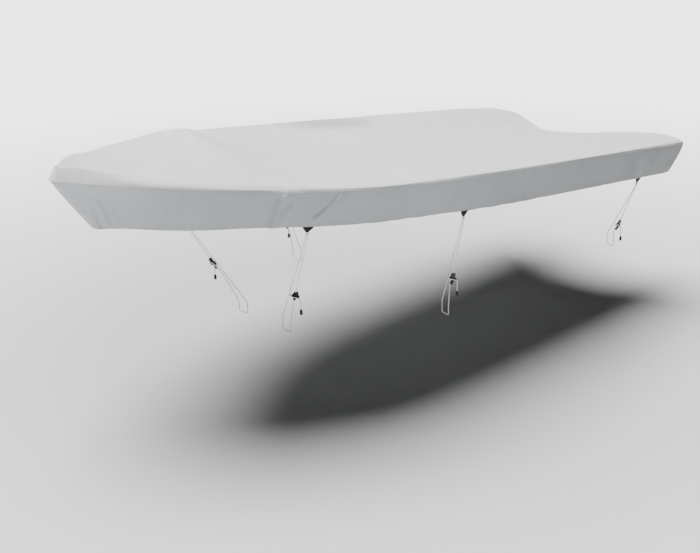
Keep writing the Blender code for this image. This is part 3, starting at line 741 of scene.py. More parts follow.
def noise_of(tree, vector, scale, detail=2.0, roughness=0.5):
    """Smooth noise from 0 to 1, finer as the scale grows."""
    node = tree.nodes.new("ShaderNodeTexNoise")
    feed(tree, node.inputs["Vector"], vector)
    node.inputs["Scale"].default_value = scale
    node.inputs["Detail"].default_value = detail
    node.inputs["Roughness"].default_value = roughness
    return node.outputs["Fac"]


def spread(tree, value, low, high, to_low, to_high):
    """Map a value from one range to another, clamped."""
    node = tree.nodes.new("ShaderNodeMapRange")
    for socket, number in zip(node.inputs, (value, low, high, to_low, to_high)):
        feed(tree, socket, number)
    return node.outputs[0]


def mixed(tree, factor, first, second):
    """The first colour, turning into the second as the factor goes to 1."""
    node = tree.nodes.new("ShaderNodeMix")
    node.data_type = "RGBA"
    for index, value in ((0, factor), (6, first), (7, second)):
        feed(tree, node.inputs[index], value)
    return node.outputs[2]


def bumped(tree, height, strength, distance, under=None):
    """A normal tilted by a height in metres, on top of another normal if given."""
    node = tree.nodes.new("ShaderNodeBump")
    node.inputs["Strength"].default_value = strength
    node.inputs["Distance"].default_value = distance
    feed(tree, node.inputs["Height"], height)
    if under:
        tree.links.new(under, node.inputs["Normal"])
    return node.outputs["Normal"]


def shade(tree, shader, colour, roughness, normal):
    """Wire up the three inputs that every finish of the cover uses."""
    for name, value in (("Base Color", colour), ("Roughness", roughness), ("Normal", normal)):
        feed(tree, shader.inputs[name], value)


def grey(value, warmth=0.0):
    """A grey as a colour; warmth tints it towards red, below 0 towards blue."""
    return (value * (1.0 + warmth), value, value * (1.0 - warmth), 1.0)


def new_material(name, preview):
    """A material, its node tree, its shader and its Texture Coordinate node."""
    made = bpy.data.materials.new(name)
    made.use_nodes = True
    made.diffuse_color = preview
    tree = made.node_tree
    coordinates = tree.nodes.new("ShaderNodeTexCoord")
    return made, tree, tree.nodes["Principled BSDF"], coordinates


print("a cool grey:", [round(v, 3) for v in grey(0.5, -0.04)])


# %% [markdown]
# ## The canvas
# The cloth is a plain weave with a coating. Close up, threads pass over and under
# each other, and the low places of the weave are painted darker, as painted shade.
# From a step away the colour carries painted light and shade: the skirts are a
# darker, bluer copy of the top's cloth, as painted shade, and lighter near the
# bow, as painted light. The cloth is painted darker towards the stern, and in a
# ragged patch near the starboard edge where a slack place slopes away from the
# light, both as painted shade. Dust sits where the cloth rubs. Each is one more
# mix on the colour, so each can be tried alone.

# %% Weave and weather
THREAD_PITCH = 0.0016       # one thread over and one under
TOP_GREY, SHADED_SIDE_GREY = 0.445, 0.352      # the skirts' grey is darker than the top's, as painted shade
STERN_SHADE_FROM, STERN_SHADE_TO = 0.35, -2.15      # x, where the painted shade towards the stern starts and is at its darkest
BOW_LIGHT_FROM, BOW_LIGHT_TO = 1.72, 2.12     # x, the same for the painted light towards the bow
SLACK_SHADE_AT = (-0.34, -0.80)    # near the starboard edge: painted shade where a slack place slopes away from the light
SLACK_SHADE_REACH = (0.44, 0.32)
SLACK_SHADE_DEPTH = 0.56
PAINTED_SHADE_TONE = 0.45                 # tone of the painted shade, against the clean cloth


def weave_height(tree, uv, pitch):
    """A plain weave: threads pass over and under in both ways."""
    parts = tree.nodes.new("ShaderNodeSeparateXYZ")
    tree.links.new(uv, parts.inputs[0])
    k = 2.0 * math.pi / pitch
    across = maths(tree, "SINE", maths(tree, "MULTIPLY", parts.outputs[0], k))
    along = maths(tree, "SINE", maths(tree, "MULTIPLY", parts.outputs[1], k))
    return maths(tree, "MULTIPLY_ADD", maths(tree, "MULTIPLY", across, along), 0.5, 0.5)


def slack_shade_patch(tree, place_on, crumple):
    """A ragged oval of painted shade: the distance from its middle, in shares of its reach, is
    mapped.
    """
    centred = tree.nodes.new("ShaderNodeMapping")
    centred.inputs["Location"].default_value = (
        -SLACK_SHADE_AT[0] / SLACK_SHADE_REACH[0], -SLACK_SHADE_AT[1] / SLACK_SHADE_REACH[1], 0.0)
    centred.inputs["Scale"].default_value = (1.0 / SLACK_SHADE_REACH[0], 1.0 / SLACK_SHADE_REACH[1], 0.0)
    tree.links.new(place_on, centred.inputs["Vector"])
    away = tree.nodes.new("ShaderNodeVectorMath")
    away.operation = "LENGTH"
    tree.links.new(centred.outputs["Vector"], away.inputs[0])
    ragged = maths(tree, "ADD", away.outputs["Value"],
                   spread(tree, crumple, 0.3, 0.7, -0.16, 0.16))
    return spread(tree, ragged, 0.40, 1.10, SLACK_SHADE_DEPTH, 0.0)


def woven_colour(tree, tone, cool, patches, clouds, mottle, flecks, weave):
    """Clean cloth, uneven at every size from a hand's breadth to a thread, with painted shade
    in the low places of the weave.
    """
    colour = mixed(tree, spread(tree, patches, 0.35, 0.65, 0.0, 1.0),
                   grey(tone * 0.955, -1.4 * cool), grey(tone * 1.04, -0.8 * cool))
    # The last row paints the low places of the weave darker: painted shade between the
    # threads.
    for height, low, high, to_low, to_high, share, blue in (
            (clouds, 0.40, 0.68, 0.0, 0.55, 0.90, 1.3),
            (mottle, 0.35, 0.70, 0.0, 0.30, 0.90, 0.7),
            (flecks, 0.45, 0.75, 0.0, 0.35, 1.22, 0.5),
            (weave, 0.0, 0.45, 0.22, 0.0, 0.55, 1.0)):
        colour = mixed(tree, spread(tree, height, low, high, to_low, to_high),
                       colour, grey(tone * share, -blue * cool))
    return colour


def weathered_colour(tree, colour, tone, cool, place_on, crumple, stern_shade_amount, bow_light_amount, slack_shade):
    """The same cloth with painted shade towards the stern, painted light at the bow, and a
    patch of painted shade.
    """
    parts = tree.nodes.new("ShaderNodeSeparateXYZ")
    tree.links.new(place_on, parts.inputs[0])
    forward = parts.outputs[0]
    # Painted shade: the cloth turns darker towards the stern, made ragged by the crumple
    # noise.
    stern_shade = maths(tree, "MULTIPLY", spread(tree, forward, STERN_SHADE_TO, STERN_SHADE_FROM, stern_shade_amount, 0.0),
                  spread(tree, crumple, 0.30, 0.70, 0.75, 1.15))
    shade_colour = grey(tone * PAINTED_SHADE_TONE, -0.01)
    colour = mixed(tree, stern_shade, colour, shade_colour)
    # Painted light: the cloth turns lighter towards the bow.
    colour = mixed(tree, spread(tree, forward, BOW_LIGHT_FROM, BOW_LIGHT_TO, 0.0, bow_light_amount),
                   colour, grey(tone * 1.35, -cool))
    if slack_shade:
        # Painted shade in a ragged patch near the starboard edge.
        colour = mixed(tree, slack_shade_patch(tree, place_on, crumple), colour, shade_colour)
    return colour


print("canvas weave", THREAD_PITCH * 1000, "mm; damp patch at", SLACK_SHADE_AT)


# %% Coated canvas
def canvas_material(name, tone, cool, stern_shade_amount, bow_light_amount=0.0, slack_shade=False):
    """Coated canvas: its colour, its roughness and the small relief of its surface."""
    made, tree, shader, coordinates = new_material(name, grey(tone, -cool))
    place_on, uv = coordinates.outputs["Object"], coordinates.outputs["UV"]
    weave = weave_height(tree, uv, THREAD_PITCH)
    patches = noise_of(tree, place_on, 1.3, 3.0)
    mottle = noise_of(tree, place_on, 21.0, 4.0, 0.6)
    flecks = noise_of(tree, uv, 900.0, 1.0)
    crumple = noise_of(tree, place_on, 7.0, 5.0, 0.55)
    clouds = noise_of(tree, place_on, 5.5, 3.0)
    colour = woven_colour(tree, tone, cool, patches, clouds, mottle, flecks, weave)
    colour = weathered_colour(tree, colour, tone, cool, place_on, crumple,
                              stern_shade_amount, bow_light_amount, slack_shade)
    wear = tree.nodes.new("ShaderNodeAttribute")
    wear.attribute_name = "wear"
    dusty = maths(tree, "MULTIPLY", wear.outputs["Fac"],
                  spread(tree, mottle, 0.30, 0.65, 0.25, 1.0))
    colour = mixed(tree, maths(tree, "MULTIPLY", dusty, 0.35),
                   colour, grey(tone * 0.80, 0.02))
    roughness = maths(tree, "ADD", spread(tree, mottle, 0.3, 0.7, 0.66, 0.80),
                      maths(tree, "MULTIPLY", dusty, 0.10))
    surface = None
    for height, strength, distance in ((crumple, 0.30, 0.010), (mottle, 0.18, 0.0016),
                                       (flecks, 0.30, 0.00015), (weave, 0.55, 0.00035)):
        surface = bumped(tree, height, strength, distance, surface)
    shade(tree, shader, colour, roughness, surface)
    shader.inputs["Sheen Weight"].default_value = 0.12
    shader.inputs["Sheen Roughness"].default_value = 0.45
    shader.inputs["Specular IOR Level"].default_value = 0.35
    return made


# The skirts are a darker, bluer copy of the top's cloth: painted shade.
TOP_CANVAS = canvas_material("cover_cloth_top", TOP_GREY, cool=0.020, stern_shade_amount=0.13, slack_shade=True)
SHADED_SIDE_CANVAS = canvas_material("cover_cloth_side_shaded", SHADED_SIDE_GREY, cool=0.048, stern_shade_amount=0.76,
                              bow_light_amount=0.55)
print("canvas:", TOP_CANVAS.name, "and", SHADED_SIDE_CANVAS.name)


# %% [markdown]
# ## The other finishes
# Thread and cord are soft fibre, rough and with hardly a shine. Webbing is a
# coarse black weave that dust settles in. The hooks and the caps are moulded
# plastic: the only pieces with a real shine, broken by fine scuffs.

# %% Thread and webbing
WEBBING_PITCH = 0.0022


def thread_material():
    """Sewing thread, about as light as the cloth of the top."""
    made, tree, shader, coordinates = new_material("cover_cloth_thread", grey(0.42))
    fibres = noise_of(tree, coordinates.outputs["Object"], 1400.0, 2.0)
    shade(tree, shader, mixed(tree, fibres, grey(0.36, -0.02), grey(0.54, -0.01)),
          spread(tree, fibres, 0.3, 0.7, 0.50, 0.68), bumped(tree, fibres, 0.5, 0.0002))
    return made


def webbing_material():
    """Black webbing: a coarse weave with dust in it, and painted shade between its threads."""
    made, tree, shader, coordinates = new_material("black_webbing_ribbed", grey(0.012))
    uv = coordinates.outputs["UV"]
    weave = weave_height(tree, uv, WEBBING_PITCH)
    dust = noise_of(tree, coordinates.outputs["Object"], 160.0, 4.0)
    fuzz = noise_of(tree, uv, 1500.0, 1.0)
    # Where the weave is low, the black is painted darker still: painted shade between the
    # threads.
    colour = mixed(tree, weave, grey(0.003), grey(0.010))
    colour = mixed(tree, spread(tree, dust, 0.55, 0.80, 0.0, 0.22), colour, grey(0.040, 0.02))
    surface = bumped(tree, fuzz, 0.4, 0.0002, bumped(tree, weave, 0.8, 0.0005))
    shade(tree, shader, colour, spread(tree, dust, 0.3, 0.7, 0.62, 0.86), surface)
    shader.inputs["Sheen Weight"].default_value = 0.04
    shader.inputs["Specular IOR Level"].default_value = 0.25
    return made


THREAD, WEBBING = thread_material(), webbing_material()
print("finishes:", THREAD.name, "and", WEBBING.name)


# %% Cord and plastic
BRAID_STRANDS, BRAID_PITCH = 4.0, 0.0075


def cord_material():
    """A braid: two sets of strands wind round the cord, one each way, with painted shade
    between them.
    """
    made, tree, shader, coordinates = new_material("white_cord_braided", grey(0.76, 0.02))
    parts = tree.nodes.new("ShaderNodeSeparateXYZ")
    tree.links.new(coordinates.outputs["UV"], parts.inputs[0])
    along = maths(tree, "MULTIPLY", parts.outputs[0], 2.0 * math.pi / BRAID_PITCH)
    around = maths(tree, "MULTIPLY", parts.outputs[1], 2.0 * math.pi * BRAID_STRANDS)
    right = maths(tree, "SINE", maths(tree, "ADD", along, around))
    left = maths(tree, "SINE", maths(tree, "SUBTRACT", along, around))
    braid = maths(tree, "MULTIPLY_ADD", maths(tree, "MULTIPLY", right, left), 0.5, 0.5)
    grime = noise_of(tree, coordinates.outputs["Object"], 70.0, 4.0)
    fibres = noise_of(tree, coordinates.outputs["Object"], 1600.0, 2.0)
    # Where the braid is low, the cord is painted darker: painted shade between the strands.
    colour = mixed(tree, spread(tree, braid, 0.0, 0.6, 0.0, 1.0),
                   grey(0.60, 0.03), grey(0.88, 0.01))
    colour = mixed(tree, spread(tree, grime, 0.55, 0.80, 0.0, 0.30), colour, grey(0.50, 0.07))
    surface = bumped(tree, fibres, 0.3, 0.0002, bumped(tree, braid, 0.8, 0.0008))
    shade(tree, shader, colour, spread(tree, fibres, 0.3, 0.7, 0.62, 0.80), surface)
    return made


def plastic_material():
    """Black moulded plastic with a fine grain and scuffs."""
    made, tree, shader, coordinates = new_material("black_plastic_moulded", grey(0.010))
    place_on = coordinates.outputs["Object"]
    grain = noise_of(tree, place_on, 1800.0, 2.0)
    scuffs = noise_of(tree, place_on, 240.0, 5.0, 0.7)
    colour = mixed(tree, spread(tree, scuffs, 0.52, 0.75, 0.0, 0.5), grey(0.009), grey(0.035))
    surface = bumped(tree, scuffs, 0.2, 0.0003, bumped(tree, grain, 0.35, 0.0001))
    shade(tree, shader, colour, spread(tree, scuffs, 0.35, 0.70, 0.34, 0.56), surface)
    return made


CORD, PLASTIC = cord_material(), plastic_material()
print("finishes:", CORD.name, "and", PLASTIC.name)


# %% [markdown]
# ## The cords
# A cord is a circle swept along its route. Sweeping in code gives control of the
# frame that carries the circle: it is turned as little as possible from point to
# point, so the braid doesn't twist suddenly at a bend. The UV runs in metres
# along the cord and once round it, and the braid is drawn on that.

# %% Sweep a tube
CORD_SIDES = 14


def ring_faces(rings, sides):
    """Faces of a closed body made of rings: quads between the rings, then both ends."""
    faces = []
    for start in range(0, (rings - 1) * sides, sides):
        for k in range(sides):
            n = (k + 1) % sides
            faces.append([start + k, start + n, start + sides + n, start + sides + k])
    last = (rings - 1) * sides
    return faces + [list(reversed(range(sides))), [last + k for k in range(sides)]]


def tube(points, radius, sides):
    """Points, faces and corner UVs of a closed tube along a line of points."""
    ways = []
    for i in range(len(points)):
        ahead = points[min(i + 1, len(points) - 1)] - points[max(i - 1, 0)]
        ways.append(ahead.normalized())
    across = ways[0].orthogonal().normalized()
    verts, uvs, run = [], [], [0.0]
    for i, (point, way) in enumerate(zip(points, ways)):
        across = (across - way * across.dot(way)).normalized()
        other = way.cross(across)
        if i:
            run.append(run[-1] + (point - points[i - 1]).length)
        for k in range(sides):
            angle = 2.0 * math.pi * k / sides
            verts.append(point + (across * math.cos(angle) + other * math.sin(angle)) * radius)
    for before, after in zip(run, run[1:]):
        for k in range(sides):
            low, high = k / sides, (k + 1) / sides
            uvs.append([(before, low), (before, high), (after, high), (after, low)])
    uvs += [[(run[0], 0.5)] * sides, [(run[-1], 0.5)] * sides]
    return verts, ring_faces(len(points), sides), uvs


def cord_piece(name, points, node):
    """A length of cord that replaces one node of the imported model."""
    piece = make_object(name, *tube(points, CORD_RADIUS, CORD_SIDES))
    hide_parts(node)
    return put_on(piece, CORD, "white_cord")


print("cord", 2000.0 * CORD_RADIUS, "mm thick, with", CORD_SIDES, "sides")


# %% The cord that goes round the rail, and the strand that holds the hook
STRAND_STEPS = 16
CORDS, CORD_PATHS, STRANDS, STRAND_PATHS = {}, {}, {}, {}
for label, _, _ in LABELS:
    corners = main_corners(label)
    CORD_PATHS[label] = rounded_route(corners, PATH_BEND_STEP)
    CORDS[label] = cord_piece("tie_cord_" + label, rounded_route(corners, CORD_BEND_STEP),
                              "cord_" + label)
    axes = FRAMES[label]
    top = place(axes["knot"], STRAND_HALF_GAP, -KNOT_EXIT, 0.0)
    foot = place(axes["adjuster"], 0.0, HOOK_HEAD + SEAM_GAP, 0.0)
    STRAND_PATHS[label] = [top.lerp(foot, k / STRAND_STEPS) for k in range(STRAND_STEPS + 1)]
    STRANDS[label] = cord_piece("tie_strand_" + label, STRAND_PATHS[label], "strand_" + label)
print("cords:", len(CORDS), "strands:", len(STRANDS))


# %% [markdown]
# ## The knots
# Each tie hangs from its tab by a cow hitch: a loop of the cord goes through the
# tab, and both ends pass back under the loop. It is drawn as the real one is
# tied, by sweeping the cord along the path of the hitch. A smooth curve through
# a few points is enough, because the cord is as thick as the knot is small.

# %% Tie the hitches
HITCH = table(
    "aft up out",
    (-0.0045, -0.0076, -0.0002), (-0.0042, -0.0035, -0.0024), (-0.0046, 0.0022, -0.0034),
    (-0.0064, 0.0076, -0.0012), (-0.0080, 0.0044, 0.0022), (-0.0068, -0.0006, 0.0038),
    (-0.0030, -0.0016, 0.0040), (0.0030, -0.0016, 0.0040), (0.0068, -0.0006, 0.0038),
    (0.0080, 0.0044, 0.0022), (0.0064, 0.0076, -0.0012), (0.0046, 0.0022, -0.0034),
    (0.0042, -0.0035, -0.0024), (0.0045, -0.0076, -0.0002),
)


def smooth_line(points, steps, closed=False):
    """A Catmull-Rom curve: smooth, and through every point."""
    count, found = len(points), []
    for i in range(count if closed else count - 1):
        if closed:
            a, b, c, d = (points[(i + k) % count] for k in (-1, 0, 1, 2))
        else:
            a, b, c, d = (points[min(max(i + k, 0), count - 1)] for k in (-1, 0, 1, 2))
        for k in range(steps):
            t = k / steps
            found.append(0.5 * (2.0 * b + (c - a) * t
                                + (2.0 * a - 5.0 * b + 4.0 * c - d) * t ** 2
                                + (3.0 * b - a - 3.0 * c + d) * t ** 3))
    return found if closed else found + [points[-1]]


HITCH_RADIUS = CORD_RADIUS * 0.98       # pulled tight, a cord is a little thinner
HITCH_STEPS = 5             # points from one place of the table to the next
for label, _, _ in LABELS:
    knot = FRAMES[label]["knot"]
    path = smooth_line([place(knot, p.aft, p.up, p.out) for p in HITCH], HITCH_STEPS)
    piece = make_object("hitch_" + label, *tube(path, HITCH_RADIUS, CORD_SIDES))
    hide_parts("knot_" + label)
    put_on(piece, CORD, "white_cord")
print("each hitch takes", round(length_of(path) * 1000), "mm of cord")


# %% [markdown]
# ## The webbing tabs
# A tab is a short length of black webbing folded so that it narrows to a point,
# and its wide end is sewn behind the hem. It is a plate with rounded edges: each
# row across it is a flattened loop. The two halves of the fold overlap in the
# middle, where the upper one makes a step, and ribs run down each half.

# %% Fold the tabs
TAB_CORNER = 0.006
TAB_ROWS, TAB_FRONT = 34, 40            # rows up the tab, and steps across its front
RIB_PITCH, RIB_HEIGHT = 0.0030, 0.00016
RIB_SLOPE = 0.62            # the ribs of each half run up and out from the tip
LAP_STEP, LAP_FROM, LAP_OVER = 0.00045, -0.0012, 0.0010     # where the halves overlap
TAB_INSET = 0.00065         # each face lies this far inside the tab's full thickness
TAB_HALF = smooth_column(table(
    "up half",
    (-TAB_SHOWN, 0.5 * TAB_TIP_WIDTH - 0.004), (-TAB_SHOWN + 0.005, 0.5 * TAB_TIP_WIDTH),
    (-0.002, 0.5 * TAB_WIDTH), (TAB_TUCKED - TAB_CORNER, 0.5 * TAB_WIDTH),
    (TAB_TUCKED, 0.5 * TAB_WIDTH - TAB_CORNER),
), "half")


def tab_surface(up, across):
    """Height of the tab's front above its middle plane, across from -1 to 1."""
    half = TAB_HALF(up)
    aft = across * half
    edge = (1.0 - abs(across) ** 10) ** 0.5
    lean = math.copysign(RIB_SLOPE, across) * (up + TAB_SHOWN)
    rib = math.sin(2.0 * math.pi * (aft - lean) / RIB_PITCH)
    overlap = LAP_STEP * ease((aft - LAP_FROM) / LAP_OVER)
    return edge * (0.5 * TAB_THICK - TAB_INSET + RIB_HEIGHT * rib + overlap)


def build_tab(label):
    """One folded tab, as rows of loops from its tip to its sewn end."""
    axes = FRAMES[label]["tab"]
    points, uvs_at, loop = [], [], 2 * TAB_FRONT
    for i in range(TAB_ROWS + 1):
        up = -TAB_SHOWN + (TAB_SHOWN + TAB_TUCKED) * i / TAB_ROWS
        for k in range(loop):
            front = k <= TAB_FRONT
            share = k / TAB_FRONT if front else 2.0 - k / TAB_FRONT
            across = -math.cos(math.pi * share)
            height = tab_surface(up, across) if front else -tab_surface(up, across)
            end = min(1.0, 0.35 + 0.65 * min(i, TAB_ROWS - i) / 2.0)
            points.append(place(axes, across * TAB_HALF(up), up,
                                0.5 * TAB_THICK + height * end))
            uvs_at.append((across * TAB_HALF(up), up))
    faces = ring_faces(TAB_ROWS + 1, loop)
    piece = make_object("webbing_tab_" + label, points, faces,
                        [[uvs_at[i] for i in face] for face in faces])
    make_outward(piece.data)
    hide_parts("tab_" + label)
    return put_on(piece, WEBBING, "black_webbing")


def make_outward(mesh):
    """Turn the faces of a closed mesh outward."""
    bm = bmesh.new()
    bm.from_mesh(mesh)
    bmesh.ops.recalc_face_normals(bm, faces=bm.faces[:])
    if bm.calc_volume(signed=True) < 0.0:
        bmesh.ops.reverse_faces(bm, faces=bm.faces[:])
    bm.to_mesh(mesh)
    bm.free()


TABS = {label: build_tab(label) for label, _, _ in LABELS}
print("tabs:", len(TABS))


# %% [markdown]
# ## The hooks and the end caps
# The hook that holds a tie is a moulded S. Its outline is smoothed first, then
# extruded, and a Bevel of a few segments rounds the edges as a mould does. The
# cap is a turned shape: a profile spun round its axis, with two grip rings.

# %% Mould the hooks
HOOK_THICK, HOOK_BEVEL = 0.010, 0.0016
OUTLINE_STEPS = 4           # points from one place of the outline to the next
HOOK_OUTLINE = table(
    "aft up",
    (-0.013, 0.033), (-0.007, 0.038), (0.006, 0.038), (0.014, 0.033), (0.015, 0.025),
    (0.009, 0.017), (0.019, 0.005), (0.025, -0.006), (0.022, -0.015), (0.012, -0.018),
    (0.006, -0.023), (0.005, -0.034), (-0.001, -0.039), (-0.008, -0.037), (-0.010, -0.029),
    (-0.008, -0.021), (-0.001, -0.015), (-0.010, -0.006), (-0.019, 0.001), (-0.022, 0.009),
    (-0.019, 0.016), (-0.010, 0.019), (-0.013, 0.026),
)


def build_hook(label):
    """One hook: its smoothed outline, extruded and bevelled."""
    axes = FRAMES[label]["adjuster"]
    outline = [Vector((p.aft, p.up)) for p in HOOK_OUTLINE]
    rounded = smooth_line(outline, OUTLINE_STEPS, closed=True)
    bm = bmesh.new()
    low = [bm.verts.new(place(axes, p.x, p.y, -0.5 * HOOK_THICK)) for p in rounded]
    high = [bm.verts.new(place(axes, p.x, p.y, 0.5 * HOOK_THICK)) for p in rounded]
    ends = [bm.faces.new(low), bm.faces.new(list(reversed(high)))]
    for i in range(len(rounded)):
        n = (i + 1) % len(rounded)
        bm.faces.new([low[n], low[i], high[i], high[n]])
    bmesh.ops.bevel(bm, geom=[e for end in ends for e in end.edges], offset=HOOK_BEVEL,
                    segments=3, profile=0.5, affect="EDGES", clamp_overlap=True)
    mesh = bpy.data.meshes.new("hook_" + label)
    bm.to_mesh(mesh)
    bm.free()
    make_outward(mesh)
    mesh.shade_smooth()
    mesh.set_sharp_from_angle(angle=math.radians(40.0))
    piece = linked("hook_" + label, mesh)
    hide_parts("adjuster_" + label)
    return put_on(piece, PLASTIC, "black_plastic")


HOOKS = {label: build_hook(label) for label, _, _ in LABELS}
print("hooks:", len(HOOKS), "with", len(HOOKS["port_fore"].data.polygons), "faces each")


# %% Turn the end caps
CAP_SIDES = 24
CAP_PROFILE = table(
    "radius depth",
    (0.0029, 0.0000), (0.0044, 0.0002), (0.0052, 0.0012), (0.0066, 0.0050), (0.0080, 0.0088),
    (0.0084, 0.0100), (0.0078, 0.0108), (0.0078, 0.0122), (0.0086, 0.0130), (0.0087, 0.0142),
    (0.0079, 0.0150), (0.0079, 0.0164), (0.0087, 0.0172), (0.0088, 0.0200), (0.0086, 0.0240),
    (0.0082, 0.0280), (0.0074, 0.0295), (0.0058, 0.0300),
)


def build_cap(label):
    """One end cap: the profile, spun round the cord's end."""
    top = main_corners(label)[-1][0] - UP * SEAM_GAP
    points, faces = [], []
    for ring in CAP_PROFILE:
        for k in range(CAP_SIDES):
            angle = 2.0 * math.pi * k / CAP_SIDES
            points.append(top + Vector((ring.radius * math.cos(angle),
                                        ring.radius * math.sin(angle), -ring.depth)))
    for i in range(len(CAP_PROFILE) - 1):
        for k in range(CAP_SIDES):
            n = (k + 1) % CAP_SIDES
            faces.append([i * CAP_SIDES + k, (i + 1) * CAP_SIDES + k,
                          (i + 1) * CAP_SIDES + n, i * CAP_SIDES + n])
    last = (len(CAP_PROFILE) - 1) * CAP_SIDES
    faces += [list(range(CAP_SIDES)), [last + k for k in reversed(range(CAP_SIDES))]]
    piece = make_object("end_cap_" + label, points, faces, sharp=40.0)
    make_outward(piece.data)
    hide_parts("cord_end_" + label)
    return put_on(piece, PLASTIC, "black_plastic")


CAPS = {label: build_cap(label) for label, _, _ in LABELS}
for label, _, _ in LABELS:
    path = CORD_PATHS[label]
    path = STRAND_PATHS[label]
print("end caps:", len(CAPS))


# %% [markdown]
# ## A sheet with two sides
# Cloth is thin but it isn't a single surface: seen from below, the cover needs an
# inside. Each panel is built as an outer skin and an inner one two millimetres
# away, closed along its edge. The wear attribute says where the cloth rubs, and
# the material reads it.

# %% Give a sheet its thickness
def sheet_normals(points, faces):
    """The way out of the surface at each point, averaged over the faces round it."""
    normals = [Vector() for _ in points]
    for face in faces:
        corners = [points[i] for i in face]
        across = (corners[2] - corners[0]).cross(corners[-1] - corners[1])
        for i in face:
            normals[i] += across
    return [n.normalized() for n in normals]


def make_sheet(name, outer, faces, inward, flat, wear):
    """A closed sheet from its outer skin and the step to the inner skin at each point."""
    count = len(outer)
    points = [p - ORIGIN for p in outer]
    points += [p + step - ORIGIN for p, step in zip(outer, inward)]
    uses = {}
    for face in faces:
        for a, b in zip(face, face[1:] + face[:1]):
            uses[(a, b)] = uses.get((a, b), 0) + 1
    skins = faces + [[i + count for i in reversed(face)] for face in faces]
    rim = [[b, a, a + count, b + count] for a, b in uses if (b, a) not in uses]
    every = skins + rim
    uvs = [[flat[i % count] for i in face] for face in every]
    piece = make_object(name, points, every, uvs, sharp=60.0)
    layer = piece.data.attributes.new("wear", "FLOAT", "POINT")
    layer.data.foreach_set("value", wear + wear)
    return piece


print("cloth", CLOTH * 1000, "mm thick, hem", HEM * 1000, "mm")


# %% [markdown]
# ## The top panel
# The top is one sheet over the whole boat. The grid of points follows the boat's
# lines, and the last rows round the edge into the seam. Slack cloth is never
# flat, so long shallow creases are added: some run back from the peak over the
# foredeck, and the rest are soft waves between the gunwales. They all die out
# before the seam, where the cloth is stretched straight.

# %% Creases of the top
PEAK = Vector((PEAK_X, 0.0))
WAVE, RIPPLE, PEAK_CREASE, FINE = 0.0045, 0.0012, 0.0040, 0.0005    # heights
EDGE_GATHER = 0.0009
# The lift over the gunwale: its height, its middle, its half width, and its fading
GUNWALE_RISE, GUNWALE_INSIDE, GUNWALE_REACH, GUNWALE_FADE = 0.0018, 0.020, 0.018, 0.45


def top_relief(x, y, side):
    """Height of the fine creases of the top panel."""
    inside = ease((1.0 - abs(side)) / 0.22)
    waves = noise.noise(Vector((x * 1.7, y * 2.6, 1.3)))
    ripples = noise.noise(Vector((x * 4.0 + y * 1.5, y * 9.0, 7.9)))
    away = Vector((x, y)) - PEAK
    spoke = math.atan2(away.y, -away.x)
    near_peak = math.exp(-((away.length - 0.28) / 0.30) ** 2)
    pull = noise.noise(Vector((spoke * 4.5, away.length * 0.8, 2.2)))
    fine = noise.noise(Vector((x * 14.0, y * 11.0, 4.4)))
    return inside * (WAVE * waves + RIPPLE * ripples + PEAK_CREASE * near_peak * pull
                     + FINE * fine)


def edge_gather(x, y, side):
    """Short tucks that the seam's thread pulls into the edge of the top."""
    near = math.exp(-(1.0 - abs(side)) / 0.035)
    tucks = noise.noise(Vector((x * 34.0, y * 4.0, 6.6)))
    return EDGE_GATHER * near * tucks * ease((1.0 - abs(side)) / 0.004)


def rail_ridge(x, side):
    """The cloth lifts a little where it lies over the gunwale, just inside the seam."""
    inside = (1.0 - abs(side)) * SECTION["half"](x)
    ridge = hump((inside - GUNWALE_INSIDE) / GUNWALE_REACH)
    return GUNWALE_RISE * ridge * ease((PULL_END - x) / GUNWALE_FADE)


print("the cloth lifts", GUNWALE_RISE * 1000, "mm over the gunwale")


# %% Round the edge of the top
SHOULDER_RINGS = 8
SLOPE_STEP = 0.012          # how far inside its edge the slope of the top is taken
STEEPEST = 2.0


def edge_slope(entry):
    """How steeply the top falls just inside its edge."""
    x = entry.point.x - SLOPE_STEP * entry.outward.x
    y = entry.point.y - SLOPE_STEP * entry.outward.y
    side = min(max(y / SECTION["half"](x), -1.0), 1.0)
    return min(max((top_height(x, side) - entry.point.z) / SLOPE_STEP, 0.0), STEEPEST)


def shoulder_point(entry, share):
    """From the edge of the top down to the seam, leaving the top at its own slope."""
    reach = (entry.seam - entry.point).to_2d().length
    fall = entry.point.z - entry.seam.z
    flat = bow_fullness(entry.point.x) / BOW_FULL
    corner_out = reach * (1.0 - 0.42 * flat)
    corner_down = min(edge_slope(entry) * reach, 0.85 * fall) * (1.0 - flat)
    corner_down += 0.5 * fall * flat
    bend, end = 2.0 * share * (1.0 - share), share * share
    return (entry.point + entry.outward * (corner_out * bend + reach * end)
            - UP * (corner_down * bend + fall * end))


print("steepest slope at the edge:", round(max(edge_slope(entry) for entry in RING), 2))


# %% Draw the edge in
def rim_indices():
    """The grid's border points, in the order that border() gives them."""
    wide = CELLS_ACROSS + 1
    last, half = ROWS_ALONG * wide, CELLS_ACROSS // 2
    return ([last + j for j in range(half, wide)]
            + [i * wide + CELLS_ACROSS for i in range(ROWS_ALONG - 1, 0, -1)]
            + [j for j in range(CELLS_ACROSS, -1, -1)]
            + [i * wide for i in range(1, ROWS_ALONG)]
            + [last + j for j in range(half)])


def draw_in_edge(points, rim):
    """Move the rim to its drawn-in place, and the cloth beside it less and less."""
    wide = CELLS_ACROSS + 1
    moved = {index: entry.point - points[index] for index, entry in zip(rim, RING)}
    found = []
    for index, point in enumerate(points):
        row, column = divmod(index, wide)
        beside = row * wide + (CELLS_ACROSS if 2 * column > CELLS_ACROSS else 0)
        if index in moved:
            found.append(point + moved[index])
            continue
        near = max(1.0 - (points[beside] - point).length / EDGE_REACH, 0.0) ** 2
        astern = max(1.0 - (points[column] - point).length / EDGE_REACH, 0.0) ** 2
        found.append(point + moved[beside] * near + moved[column] * (astern * (1.0 - near)))
    return found


print("points round the rim:", len(rim_indices()))


# %% Build the top panel
END_FADE = 0.02             # share of the length over which creases fade at the ends


